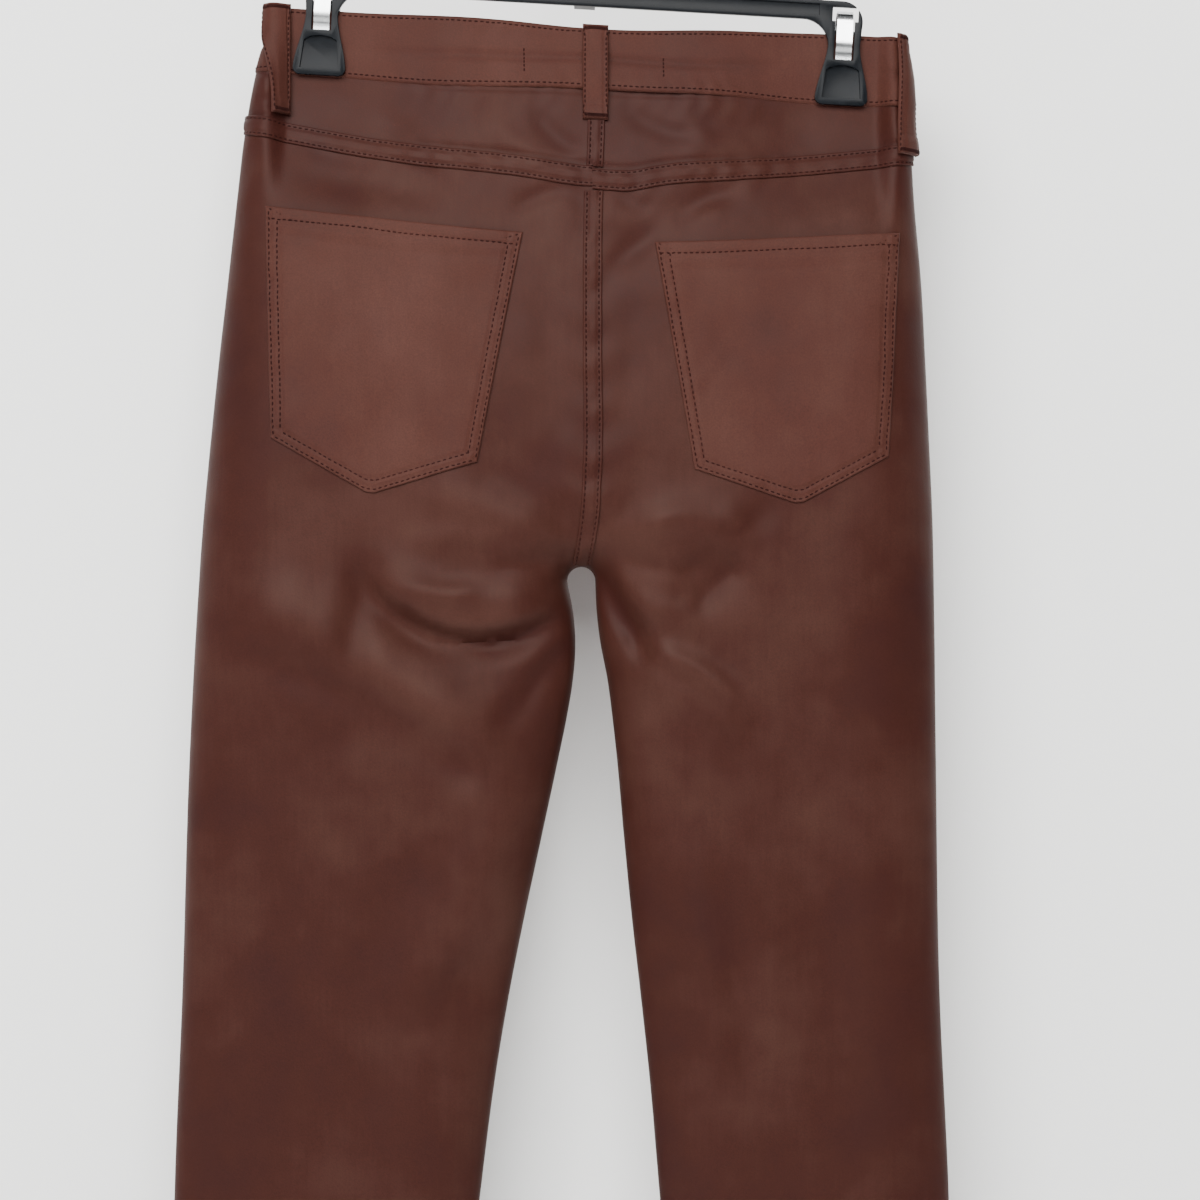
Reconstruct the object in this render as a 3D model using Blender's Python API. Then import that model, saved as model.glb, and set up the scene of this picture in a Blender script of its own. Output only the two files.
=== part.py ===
"""Coated jeans hung by the waistband from a clip hanger, modelled as the real pair is cut.

The back faces -Y and the front +Y, so +X is the wearer's right. The origin is the inner
crown of the hanger's hook, and the jeans hang below it.

Every cloth piece is a patch of one hollow form. Its outline comes from the tables of edges,
and its depth from the middle plane comes from the tables of depth and of folds. Table
columns called "down" run down from the top of the waistband at centre back, and columns
called "x" run across from the centre back seam. All table values are in millimetres.
"""

import math

import bmesh
import bpy
import numpy as np

MM = 0.001

# Driving dimensions, in millimetres.
WAIST_DROP = 130.0
CENTRE_X = -2.0
HEM_DOWN = 1016.0
HEM_HEIGHT = 15.0
SEAM_GAP = 0.3
CLOTH = 1.2
BAND_CLOTH = 2.4
BAND_STEP = 0.8
HEM_STEP = 0.5
REST_GAP = 0.5
STRIP_CLOTH = 0.8
FRONT_DIP = 26.0
TILT = math.radians(3.3)
NORMAL_STEP = 0.4

# The gap between the legs starts at a round arch under the crotch.
ARCH_X = -6.5
ARCH_DOWN = 314.0
ARCH_RADIUS = 8.0

# The clips pinch the waistband flat, and the cloth opens out again around them.
CLIP_PLACES = (-155.5, 142.5)
CLIP_FLAT = 18.5
CLIP_OUTER_EASE = 13.0
CLIP_INNER_EASE = 75.0
CLIP_BELOW = 42.0
CLIP_BELOW_EASE = 90.0
CLIPPED_DEPTH = 3.0

# A fold fades in over this share of its length, and starts at this share of its full depth.
FOLD_FADE = 0.35
FOLD_START = 0.25


def table(names, *rows):
    """A table with named columns, as one array for each name."""
    return dict(zip(names.split(), np.array(rows, float).T))


def smooth_curve(place, value):
    """A smooth curve through the points, read at any place between the first and the last."""
    slope = np.gradient(value, place)

    def read(at):
        at = np.clip(at, place[0], place[-1])
        low = np.clip(np.searchsorted(place, at, side="right") - 1, 0, len(place) - 2)
        span = place[low + 1] - place[low]
        t = (at - place[low]) / span
        start = (1 + 2 * t) * (1 - t) ** 2 * value[low] + t * (1 - t) ** 2 * span * slope[low]
        end = t * t * (3 - 2 * t) * value[low + 1] + t * t * (t - 1) * span * slope[low + 1]
        return start + end

    return read


def ease(t):
    """Runs smoothly from 0 to 1 as t does."""
    t = np.clip(t, 0.0, 1.0)
    return t * t * (3 - 2 * t)


SIDES = table(
    "down left right",
    (-14, -185.0, 175.5),
    (0, -186.2, 176.0),
    (17, -191.0, 177.5),
    (59, -199.0, 181.5),
    (99, -203.7, 184.0),
    (144, -208.7, 187.9),
    (189, -213.8, 190.3),
    (234, -218.4, 192.4),
    (280, -222.7, 194.4),
    (331, -226.2, 195.4),
    (415, -230.6, 196.4),
    (551, -234.8, 198.6),
    (663, -239.2, 203.7),
    (840, -238.6, 205.5),
    (1016, -234.5, 203.5),
)
INSEAMS = table(
    "down left right",
    (314, -14.5, 1.5),
    (330, -11.4, 2.2),
    (348, -9.9, 4.2),
    (370, -11.2, 8.4),
    (393, -15.0, 11.4),
    (415, -19.5, 13.8),
    (460, -29.1, 17.8),
    (506, -39.0, 22.3),
    (551, -47.9, 27.4),
    (596, -55.4, 32.3),
    (663, -64.1, 38.1),
    (840, -83.5, 55.5),
    (1016, -102.5, 71.5),
)
CENTRE_LINE = table(
    "down x",
    (-20, 1.0),
    (60, 2.0),
    (100, 0.5),
    (180, 0.0),
    (250, 0.0),
    (283, -2.2),
    (306, -6.5),
)
BAND_TOP = table(
    "x down",
    (-194, -14.5),
    (-146, -11.3),
    (-52, -5.3),
    (-8, -0.8),
    (12, 0.4),
    (83, 0.6),
    (132, 1.7),
    (184, 4.6),
)
BAND_BOTTOM = table(
    "x down",
    (-200, 23.4),
    (-140, 27.0),
    (-86, 32.4),
    (-20, 34.0),
    (26, 36.4),
    (83, 38.6),
    (111, 41.0),
    (190, 44.6),
)
YOKE_SEAM_LEFT = table(
    "x down",
    (-205, 48.0),
    (-167, 55.6),
    (-92, 68.7),
    (-41, 74.8),
    (-7, 80.0),
    (3, 80.8),
)
YOKE_SEAM_RIGHT = table(
    "x down",
    (-3, 81.8),
    (8, 82.8),
    (21, 83.2),
    (39, 80.0),
    (83, 76.3),
    (117, 73.5),
    (190, 66.0),
)
DEPTH = table(
    "down back front side_round gap_round",
    (-14, 9, 9, 14, 60),
    (0, 9, 9, 14, 60),
    (35, 13, 11, 18, 60),
    (80, 19, 15, 30, 60),
    (150, 27, 20, 46, 60),
    (230, 31, 23, 54, 52),
    (300, 30, 24, 56, 42),
    (360, 27, 22, 56, 44),
    (450, 24, 20, 54, 48),
    (560, 21, 18, 52, 48),
    (663, 18, 16, 50, 46),
    (840, 15, 14, 42, 42),
    (1016, 12, 12, 38, 38),
)
# Each fold runs from its start to its end and sags sideways by its sag. A positive depth
# is a trough and a negative one a ridge.
BACK_FOLDS = table(
    "x0 down0 x1 down1 sag width depth",
    (-132, 318, -12, 336, 24, 9, 7.0),
    (-122, 300, -18, 316, 18, 12, -4.5),
    (-10, 352, -56, 402, 0, 9, 3.0),
    (-128, 300, -138, 366, 0, 11, 3.0),
    (-1, 306, 34, 362, 0, 8, 7.0),
    (18, 366, 92, 396, -4, 15, -4.5),
    (24, 284, 92, 290, -6, 15, -4.0),
    (86, 300, 44, 328, 0, 15, 4.0),
    (-26, 290, -96, 250, 0, 18, -2.5),
    (82, 90, 8, 137, 4, 13, 2.5),
    (-168, 82, -78, 94, 0, 11, 2.5),
    (-222, 330, -52, 424, -10, 34, -6.0),
    (-40, 430, -112, 612, 8, 20, -5.0),
    (-52, 520, -130, 616, 6, 17, 4.5),
    (56, 450, 74, 620, 0, 16, -3.0),
    (120, 420, 132, 640, 0, 20, 2.5),
    (-150, 640, -176, 800, 0, 18, -4.0),
    (98, 690, 120, 820, 0, 17, -4.0),
    (-130, 800, -190, 850, 0, 13, 3.5),
    (100, 850, 168, 884, 0, 13, 3.5),
)
FRONT_FOLDS = table(
    "x0 down0 x1 down1 sag width depth",
    (-14, 300, -92, 262, 4, 11, 4.5),
    (6, 300, 84, 256, -4, 11, 4.5),
    (-18, 322, -110, 318, 6, 12, 4.0),
    (8, 326, 104, 320, 6, 12, 4.0),
    (-24, 282, -96, 236, 0, 14, -3.0),
    (14, 280, 90, 232, 0, 14, -3.0),
    (-40, 350, -150, 420, 0, 22, -4.0),
    (36, 356, 140, 430, 0, 22, -4.0),
    (-120, 440, -146, 640, 0, 20, 3.5),
    (96, 450, 118, 650, 0, 20, 3.5),
    (-190, 650, -128, 690, 0, 14, 3.5),
    (170, 640, 100, 684, 0, 14, 3.5),
    (-160, 760, -172, 930, 0, 16, -3.0),
    (128, 770, 142, 930, 0, 16, -3.0),
)

side_left = smooth_curve(SIDES["down"], SIDES["left"])
side_right = smooth_curve(SIDES["down"], SIDES["right"])
inseam_left = smooth_curve(INSEAMS["down"], INSEAMS["left"])
inseam_right = smooth_curve(INSEAMS["down"], INSEAMS["right"])
centre_line = smooth_curve(CENTRE_LINE["down"], CENTRE_LINE["x"])
band_top_back = smooth_curve(BAND_TOP["x"], BAND_TOP["down"])
band_bottom_back = smooth_curve(BAND_BOTTOM["x"], BAND_BOTTOM["down"])
yoke_seam_left = smooth_curve(YOKE_SEAM_LEFT["x"], YOKE_SEAM_LEFT["down"])
yoke_seam_right = smooth_curve(YOKE_SEAM_RIGHT["x"], YOKE_SEAM_RIGHT["down"])
depth_back = smooth_curve(DEPTH["down"], DEPTH["back"])
depth_front = smooth_curve(DEPTH["down"], DEPTH["front"])
side_round = smooth_curve(DEPTH["down"], DEPTH["side_round"])
gap_round = smooth_curve(DEPTH["down"], DEPTH["gap_round"])


def front_dip(x):
    """How much lower the waistband hangs at the front, between the clips."""
    middle = (CLIP_PLACES[0] + CLIP_PLACES[1]) / 2
    reach = (CLIP_PLACES[1] - CLIP_PLACES[0]) / 2
    return FRONT_DIP * ease(1 - np.abs(x - middle) / reach)


def band_top(x, front):
    """Height of the waistband's upper edge."""
    return band_top_back(x) + front_dip(x) * front


def band_bottom(x, front):
    """Height of the waistband's lower edge."""
    return band_bottom_back(x) + front_dip(x) * front


def rounded(distance, width):
    """Rises from 0 at an edge to 1 at a width inside it, as a quarter of an ellipse."""
    inside = np.clip(distance / width, 0.0, 1.0)
    return np.sqrt(1 - (1 - inside) ** 2)


def gap_distance(x, down):
    """Distance to the gap between the legs, which is round at its top."""
    above = np.hypot(x - ARCH_X, ARCH_DOWN - down) - ARCH_RADIUS
    beside = np.where(x < ARCH_X, inseam_left(down) - x, x - inseam_right(down))
    return np.where(down < ARCH_DOWN, above, beside)


def edges(x, down):
    """0 at the outline of the jeans and 1 well inside it."""
    left = rounded(x - side_left(down), side_round(down))
    right = rounded(side_right(down) - x, side_round(down))
    return left * right * rounded(gap_distance(x, down), gap_round(down))


def pinch(x, down):
    """1 where a clip holds the cloth flat, and 0 away from both clips."""
    amount = np.zeros(np.shape(x))
    for place in CLIP_PLACES:
        outward = (x - place) * np.sign(place)
        reach = np.where(outward > 0, CLIP_OUTER_EASE, CLIP_INNER_EASE)
        near = 1 - ease((np.abs(outward) - CLIP_FLAT) / reach)
        amount = np.maximum(amount, near)
    below = down - band_top_back(x) - CLIP_BELOW
    return amount * (1 - ease(below / CLIP_BELOW_EASE))


def fold_depth(folds, x, down):
    """The sum of the folds at a place, as a movement towards the middle plane."""
    total = np.zeros(np.shape(x))
    for x0, down0, x1, down1, sag, width, depth in zip(*folds.values()):
        length = math.hypot(x1 - x0, down1 - down0)
        across, along = (x1 - x0) / length, (down1 - down0) / length
        t = ((x - x0) * across + (down - down0) * along) / length
        off = (down - down0) * across - (x - x0) * along
        off = off - sag * 4 * t * (1 - t)
        fade = ease(t / FOLD_FADE + FOLD_START) * ease((1 - t) / FOLD_FADE + FOLD_START)
        total += depth * fade * np.exp(-((off / width) ** 2))
    return total


def depth_at(x, down, front):
    """Depth of the cloth's outer face from the middle plane."""
    hollow = depth_front(down) if front else depth_back(down)
    folds = FRONT_FOLDS if front else BACK_FOLDS
    inside = edges(x, down)
    held = pinch(x, down)
    free = inside * (hollow - fold_depth(folds, x, down))
    return free * (1 - held) + CLIPPED_DEPTH * held


def in_metres(places):
    """World points in metres from table places: x across, y as it is, and down."""
    x, y, down = places[..., 0], places[..., 1], places[..., 2]
    return np.stack([x + CENTRE_X, y, -WAIST_DROP - down], axis=-1) * MM


def outer_points(x, down, front):
    """Points of the cloth's outer face, with half the gap left at the side seams."""
    y = depth_at(x, down, front) + SEAM_GAP / 2
    return in_metres(np.stack([x, y if front else -y, down], axis=-1))


def field_normals(x, down, front):
    """Unit normals of the cloth's outer face, pointing out of the garment."""
    step = NORMAL_STEP
    slope_x = (depth_at(x + step, down, front) - depth_at(x - step, down, front)) / (2 * step)
    slope_down = (depth_at(x, down + step, front) - depth_at(x, down - step, front)) / (2 * step)
    side = np.full(np.shape(x), 1.0 if front else -1.0)
    normal = np.stack([-slope_x, side, slope_down], axis=-1)
    return normal / np.linalg.norm(normal, axis=-1, keepdims=True)


def grid_normals(grid, wrap, flip):
    """Unit normals of a grid of points, pointing out of the garment."""
    down = np.gradient(grid, axis=0)
    if wrap:
        across = np.roll(grid, -1, axis=1) - np.roll(grid, 1, axis=1)
    else:
        across = np.gradient(grid, axis=1)
    normal = np.cross(down, across)
    if flip:
        normal = -normal
    return normal / np.linalg.norm(normal, axis=-1, keepdims=True)


def lock(normals, where, axis):
    """Keeps the normals at an edge inside the plane of that seam."""
    normals[where + (axis,)] = 0.0
    edge = normals[where]
    normals[where] = edge / np.linalg.norm(edge, axis=-1, keepdims=True)


def make_material(name, colour, roughness, metallic=0.0):
    """A plain finish for the solids."""
    material = bpy.data.materials.new(name)
    material.use_nodes = True
    shader = material.node_tree.nodes["Principled BSDF"]
    shader.inputs["Base Color"].default_value = (*colour, 1.0)
    shader.inputs["Roughness"].default_value = roughness
    shader.inputs["Metallic"].default_value = metallic
    return material


def make_object(name, vertices, faces, material):
    """A closed mesh object with its faces pointing out."""
    mesh = bpy.data.meshes.new(name)
    mesh.from_pydata([tuple(v) for v in vertices], [], faces)
    shape = bmesh.new()
    shape.from_mesh(mesh)
    bmesh.ops.recalc_face_normals(shape, faces=shape.faces)
    shape.to_mesh(mesh)
    shape.free()
    mesh.materials.append(material)
    mesh.shade_smooth()
    mesh.set_sharp_from_angle(angle=math.radians(40))
    result = bpy.data.objects.new(name, mesh)
    bpy.context.collection.objects.link(result)
    return result


def cloth_wall(name, outer, inner, material, wrap=False):
    """A closed wall between two grids of points. A wrapped grid runs round like a tube."""
    rows, columns = outer.shape[:2]
    vertices = np.concatenate([outer.reshape(-1, 3), inner.reshape(-1, 3)])
    back = rows * columns
    last = columns if wrap else columns - 1
    faces = []
    for r in range(rows - 1):
        for c in range(last):
            d = (c + 1) % columns
            a, b = r * columns + c, r * columns + d
            e, f = a + columns, b + columns
            # Both faces of the wall use the same diagonal, so that they stay apart.
            halves = [(a, b, f), (a, f, e)]
            for half in halves:
                faces.append(half)
                faces.append(tuple(back + v for v in half[::-1]))
    for r in (0, rows - 1):
        for c in range(last):
            a, b = r * columns + c, r * columns + (c + 1) % columns
            edge = (a, back + a, back + b, b)
            faces.append(edge if r == 0 else edge[::-1])
    if not wrap:
        for c in (0, columns - 1):
            for r in range(rows - 1):
                a, b = r * columns + c, (r + 1) * columns + c
                edge = (a, b, back + b, back + a)
                faces.append(edge if c == 0 else edge[::-1])
    return make_object(name, vertices, faces, material)


# Columns across a panel: some go round its outer edge, some cross it, some reach its inner edge.
ROUND_COLUMNS = 5
MIDDLE_COLUMNS = 5
INNER_COLUMNS = 5
# Next to a clip, the columns that cross the panel start from the end of its rounded side.
CLIP_COLUMNS = (3.5, 20.0, 37.0, 60.0)
CLIP_COLUMNS_WIDE = 75.0
CLIP_COLUMNS_FROM = 40.0
CLIP_COLUMNS_FADE = 120.0
MOST_ROUND = 0.45


def column_shares(width, down, inner_down, outer_edge, inner_edge):
    """Share of the way across for each column, denser round an edge that is 1 than at a 0."""
    outer = min(float(side_round(down)), MOST_ROUND * width)
    inner = min(float(gap_round(inner_down)), MOST_ROUND * width)
    turn = np.linspace(0, math.pi / 2, ROUND_COLUMNS + 1)
    even = np.linspace(0, 1, ROUND_COLUMNS + 1)
    first = outer * (outer_edge * (1 - np.cos(turn)) + (1 - outer_edge) * even)
    turn = np.linspace(math.pi / 2, 0, INNER_COLUMNS + 1)
    even = np.linspace(1, 0, INNER_COLUMNS + 1)
    final = width - inner * (inner_edge * (1 - np.cos(turn)) + (1 - inner_edge) * even)
    middle = np.linspace(outer, width - inner, MIDDLE_COLUMNS + 1)[1:-1]
    at_clip = outer_edge * (1 - ease((down - CLIP_COLUMNS_FROM) / CLIP_COLUMNS_FADE))
    fit = min(1.0, (width - inner - outer) / CLIP_COLUMNS_WIDE)
    middle = middle * (1 - at_clip) + (outer + np.array(CLIP_COLUMNS) * fit) * at_clip
    return np.concatenate([first, middle, final]) / width


def yoke_seam(x, left):
    """Height of the seam under the yoke."""
    return yoke_seam_left(x) if left else yoke_seam_right(x)


def side_line(down, left):
    """Place of the outline's outer side at a height."""
    return side_left(down) if left else side_right(down)


FIRST_GUESS = 50.0
SIDE_STEPS = 4


def side_start(line, left):
    """Height at which a line across the torso meets the side."""
    start = FIRST_GUESS
    for _ in range(SIDE_STEPS):
        start = float(line(side_line(start, left)))
    return start


def torso_rows(left, starts, lines):
    """Rows across one half of the torso, each following the line that it is given.

    A line gives the height for any x, and a start is its height at the side.
    """
    rows = []
    for start, line in zip(starts, lines):
        start = line(side_line(start, left))
        outer = side_line(start, left)
        middle = centre_line(line(0.0))
        shares = column_shares(abs(outer - middle), start, line(0.0), 1.0, 0.0)
        x = outer + (middle - outer) * shares
        rows.append(np.stack([x, line(x)], axis=-1))
    return np.array(rows)


def blend(upper, lower, share):
    """A line that lies a share of the way from one line to another."""
    return lambda x: upper(x) * (1 - share) + lower(x) * share


SEAT_ROWS = 8
CROTCH_ROWS = 6
ARCH_ROWS = 3
BACK_LEG_ROWS = 20
FRONT_LEG_ROWS = 14
LEVEL_ROWS = 6
LEG_GROWTH = 1.07
OUTER_AT_ARCH = 298.0
TOP_REACH = 120.0


def seat_heights(top, rows):
    """Even heights down the centre seam, to where it starts to turn under at the crotch."""
    crotch = ARCH_DOWN - ARCH_RADIUS
    return np.linspace(top, crotch - float(gap_round(crotch)), rows + 1)[:-1]


def inner_edge(left, seat, leg_rows):
    """Places down the centre seam, round the arch and down the inseam, with their edge share."""
    crotch = ARCH_DOWN - ARCH_RADIUS
    turns = np.linspace(math.pi / 2, 0, CROTCH_ROWS)
    downs = np.concatenate([seat, crotch - float(gap_round(crotch)) * (1 - np.cos(turns))])
    places = [(float(centre_line(d)), d, 0.0) for d in downs]
    side = -1 if left else 1
    for step in range(1, ARCH_ROWS + 1):
        turn = step / ARCH_ROWS * math.pi / 2
        x = ARCH_X + side * ARCH_RADIUS * math.sin(turn)
        places.append((x, ARCH_DOWN - ARCH_RADIUS * math.cos(turn), step / ARCH_ROWS))
    growth = LEG_GROWTH ** np.arange(leg_rows)
    leg_end = HEM_DOWN - HEM_HEIGHT
    for down in ARCH_DOWN + (leg_end - ARCH_DOWN) * np.cumsum(growth) / growth.sum():
        line = inseam_left if left else inseam_right
        places.append((float(line(down)), down, 1.0))
    return places


def panel_rows(top_line, outer_places, inner_places):
    """Rows of a leg panel between its outer and inner places, with the top row on a line."""
    rows = []
    for (x0, down0, edge0), (x1, down1, edge1) in zip(outer_places, inner_places):
        shares = column_shares(abs(x1 - x0), down0, down1, edge0, edge1)
        x = x0 + (x1 - x0) * shares
        follow = 1 - ease((down1 - inner_places[0][1]) / TOP_REACH)
        straight = down0 + (down1 - down0) * shares
        ends = top_line(x0) + (top_line(x1) - top_line(x0)) * shares
        rows.append(np.stack([x, straight + follow * (top_line(x) - ends)], axis=-1))
    return np.array(rows)


def level_out(inner_places, starts):
    """Heights of the outer ends of the rows: even down to the arch, then level with the inner."""
    rise_rows = sum(place[2] == 0.0 for place in inner_places)
    first_leg = rise_rows + ARCH_ROWS
    even = np.linspace(starts[-1], OUTER_AT_ARCH, rise_rows - len(starts) + 1)
    downs = list(starts) + list(even[1:])
    leg = [place[1] for place in inner_places]
    step = (leg[first_leg + LEVEL_ROWS] - OUTER_AT_ARCH) / (ARCH_ROWS + LEVEL_ROWS + 1)
    for count in range(1, ARCH_ROWS + LEVEL_ROWS + 1):
        downs.append(OUTER_AT_ARCH + step * count)
    return downs + leg[first_leg + LEVEL_ROWS:]


def panel_from_rows(name, rows, front, left, material, outer_edges, inner_places):
    """A leg panel's wall, cut square to its seams."""
    outer = outer_points(rows[..., 0], rows[..., 1], front)
    rise = np.array([place[2] == 0.0 for place in inner_places])
    side = SEAM_GAP / 2 * MM * (-1 if left else 1)
    outer[rise, -1, 0] += side
    normals = field_normals(rows[..., 0], rows[..., 1], front)
    seam = np.array(outer_edges) == 1.0
    lock(normals, (seam, 0), 1)
    lock(normals, (rise, -1), 0)
    turned = ~rise
    turned[np.count_nonzero(rise) - 1] = True
    lock(normals, (turned, -1), 1)
    inner = outer - normals * CLOTH * MM
    cloth_wall(name, outer, inner, material)
    return outer, normals


def side_name(left):
    return "left" if left else "right"


def back_panels(material):
    """Makes both backs, and returns the top rows of their points for what is sewn over them."""
    tops = {}
    for left in (True, False):
        def top(x, left=left):
            return yoke_seam(x, left) + SEAM_GAP

        inner = inner_edge(left, seat_heights(float(top(0.0)), SEAT_ROWS), BACK_LEG_ROWS)
        downs = level_out(inner, [side_start(top, left)])
        outer = [(float(side_line(d, left)), float(d), 1.0) for d in downs]
        rows = panel_rows(top, outer, inner)
        edge_list = [place[2] for place in outer]
        name = "back_" + side_name(left)
        points, normals = panel_from_rows(name, rows, False, left, material, edge_list, inner)
        tops[left] = (points[:2], normals[:2])
    return tops


YOKE_LINES = 5
STRIP_ABOVE = 1.0
STRIP_GAP = 0.8
STRIP_BELOW = 10.6
RISE_STRIP_HALF = 5.35
RISE_STRIP_END = 304.0
YOKE_STRIP_HALF = 4.8
YOKE_STRIP_ROWS = 4
YOKE_STRIP_CLEAR = 1.0
YOKE_CENTRE_X = 2.0
RISE_TOP_X = 8.0


def half_patch(left, lines):
    """Rows across one half of the torso along each of the lines."""
    starts = [side_start(line, left) for line in lines]
    return torso_rows(left, starts, lines)


def line_fan(upper, lower, count):
    """Evenly spaced lines from one line to another."""
    return [blend(upper, lower, share) for share in np.linspace(0, 1, count)]


def open_centre(outer, left):
    """Moves the last column half a seam gap away from the centre seam."""
    outer[:, -1, 0] += SEAM_GAP / 2 * MM * (-1 if left else 1)


def yokes(material):
    """Makes both yokes, and returns the bottom rows of their points for the seam strips."""
    bottoms = {}
    for left in (True, False):
        def low(x, left=left):
            return yoke_seam(x, left)

        def high(x):
            return band_bottom(x, False) + SEAM_GAP

        rows = half_patch(left, line_fan(high, low, YOKE_LINES))
        outer = outer_points(rows[..., 0], rows[..., 1], False)
        open_centre(outer, left)
        normals = field_normals(rows[..., 0], rows[..., 1], False)
        every = np.full(len(rows), True)
        lock(normals, (every, 0), 1)
        lock(normals, (every, -1), 0)
        cloth_wall("yoke_" + side_name(left), outer, outer - normals * CLOTH * MM, material)
        bottoms[left] = (outer[-2:], normals[-2:])
    return bottoms


def lay_on(name, rows, front, low, high, material, locks=()):
    """A piece that lies on a panel: the panel's points, moved out by low and by high."""
    base = outer_points(rows[..., 0], rows[..., 1], front)
    normals = field_normals(rows[..., 0], rows[..., 1], front)
    every = np.full(len(rows), True)
    for column, axis in locks:
        lock(normals, (every, column), axis)
    low = np.broadcast_to(low, rows.shape[:2])[..., None]
    high = np.broadcast_to(high, rows.shape[:2])[..., None]
    outer = base + normals * high * MM
    return cloth_wall(name, outer, base + normals * low * MM, material)


def part_way(rows, length):
    """Points on the way from a grid's first row to its second, each the same length along."""
    step = rows[1] - rows[0]
    return rows[0] + step * length * MM / np.linalg.norm(step, axis=-1, keepdims=True)


def felled_strips(yoke_rows, panel_tops, material):
    """The folded seam strips along the yoke seams, the yoke's centre seam and the rise."""
    low, high = STRIP_GAP * MM, (STRIP_GAP + STRIP_CLOTH) * MM
    for left in (True, False):
        yoke, yoke_normals = yoke_rows[left]
        panel, normals = panel_tops[left]
        base = np.stack([part_way(yoke[::-1], STRIP_ABOVE), panel[0], part_way(panel, STRIP_BELOW)])
        lean = np.stack([yoke_normals[-1], normals[0], normals[0]])
        name = "strip_yoke_" + side_name(left)
        cloth_wall(name, base + lean * high, base + lean * low, material)
    raised = (STRIP_GAP, STRIP_GAP + STRIP_CLOTH)
    centre_loop = LOOP_NAMES.index("back_centre")
    start = band_bottom_back(YOKE_CENTRE_X) + LOOPS["below"][centre_loop] + SEAM_GAP
    end = yoke_seam_left(0.0) - STRIP_ABOVE - 2 * SEAM_GAP
    downs = np.linspace(start + YOKE_STRIP_CLEAR, end, YOKE_STRIP_ROWS)
    rows = centre_strip(downs, YOKE_STRIP_HALF)
    lay_on("strip_yoke_centre", rows, False, *raised, material)
    start = yoke_seam_right(RISE_TOP_X) + STRIP_BELOW + 2 * SEAM_GAP
    places = inner_edge(True, seat_heights(start, SEAT_ROWS), BACK_LEG_ROWS)
    downs = [place[1] for place in places if place[1] < RISE_STRIP_END and place[2] == 0.0]
    rows = centre_strip(np.array(downs + [RISE_STRIP_END]), RISE_STRIP_HALF)
    lay_on("strip_rise", rows, False, *raised, material)


def centre_strip(downs, half):
    """Rows of a narrow strip that lies along the centre seam."""
    across = np.array([-half, 0.0, half])
    x = centre_line(downs)[:, None] + across
    return np.stack([x, np.repeat(downs[:, None], len(across), axis=1)], axis=-1)


# The waistband is one folded strip. Its left end lies over its right end at centre front.
BAND_LINES = 5
OVER_END = 8.0
UNDER_ENDS = (-12.0, -30.0)
UNDER_START = 30.0
UNDER_REACH = 16.0


def waistband(material):
    """The folded band round the top, from the end that lies over to the end that lies under."""
    strips = []
    for share in np.linspace(0, 1, BAND_LINES):
        halves = {}
        for left in (True, False):
            for front in (True, False):
                def line(x, front=front):
                    return band_top(x, front) * (1 - share) + band_bottom(x, front) * share

                row = half_patch(left, [line])[0]
                y = depth_at(row[:, 0], row[:, 1], front)
                if front and not left:
                    y -= (BAND_CLOTH + REST_GAP) * ease((UNDER_START - row[:, 0]) / UNDER_REACH)
                side = 1 if front else -1
                halves[left, front] = np.column_stack([row[:, 0], side * y, row[:, 1]])
        over = halves[True, True][::-1]
        under = halves[False, True]
        first = over[0] + (OVER_END, 0, 0)
        last = [under[-1] + (end, 0, 0) for end in UNDER_ENDS]
        strip = [first, *over[1:-1], *halves[True, False], *halves[False, False][::-1][1:]]
        strips.append([*strip, *under[1:-1], *last])
    grid = np.array(strips)
    base = in_metres(grid)
    normals = grid_normals(base, False, False)
    outer = base + normals * BAND_STEP * MM
    cloth_wall("waistband", outer, outer - normals * BAND_CLOTH * MM, material)


SCOOP_WIDE = 102.0
SCOOP_DEEP = 72.0
SCOOP_TURNS = np.radians([0, 30, 52, 68, 79, 86, 90])
SCOOP_LEVEL = 140.0
SCOOP_SHARPNESS = 8
FRONT_SEAT_ROWS = 5
FRONT_GAP = 0.7
FACING_WIDE = 124.0
FACING_DEEP = 84.0
FACING_LINES = 8
FACING_CLOTH = 1.0
FACING_SINK = 2.5
FACING_SINK_RATE = 1.6
FACING_LAST = 0.94


def front_top(x):
    """Height of the upper edge of the fronts, just under the waistband."""
    return band_bottom(x, True) + FRONT_GAP


def front_panels(material):
    """The fronts, each with a scooped pocket opening cut from its outer top corner."""
    for left in (True, False):
        seat = np.linspace(front_top(0.0), SCOOP_LEVEL, len(SCOOP_TURNS))[:-1]
        seat = np.concatenate([seat, seat_heights(SCOOP_LEVEL, FRONT_SEAT_ROWS)])
        inner = inner_edge(left, seat, FRONT_LEG_ROWS)
        corner = side_start(front_top, left)
        side = float(side_line(corner, left))
        inward = 1 if left else -1
        outer = []
        for turn in SCOOP_TURNS:
            x = side + inward * SCOOP_WIDE * math.cos(turn)
            top = float(front_top(x)) if turn == 0 else corner
            outer.append((x, top + SCOOP_DEEP * math.sin(turn), math.sin(turn) ** SCOOP_SHARPNESS))
        downs = level_out(inner, [place[1] for place in outer])[len(outer) - 1:]
        outer = outer[:-1] + [(float(side_line(d, left)), float(d), 1.0) for d in downs]
        rows = panel_rows(front_top, outer, inner)
        edge_list = [place[2] for place in outer]
        panel_from_rows("front_" + side_name(left), rows, True, left, material, edge_list, inner)


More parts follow.
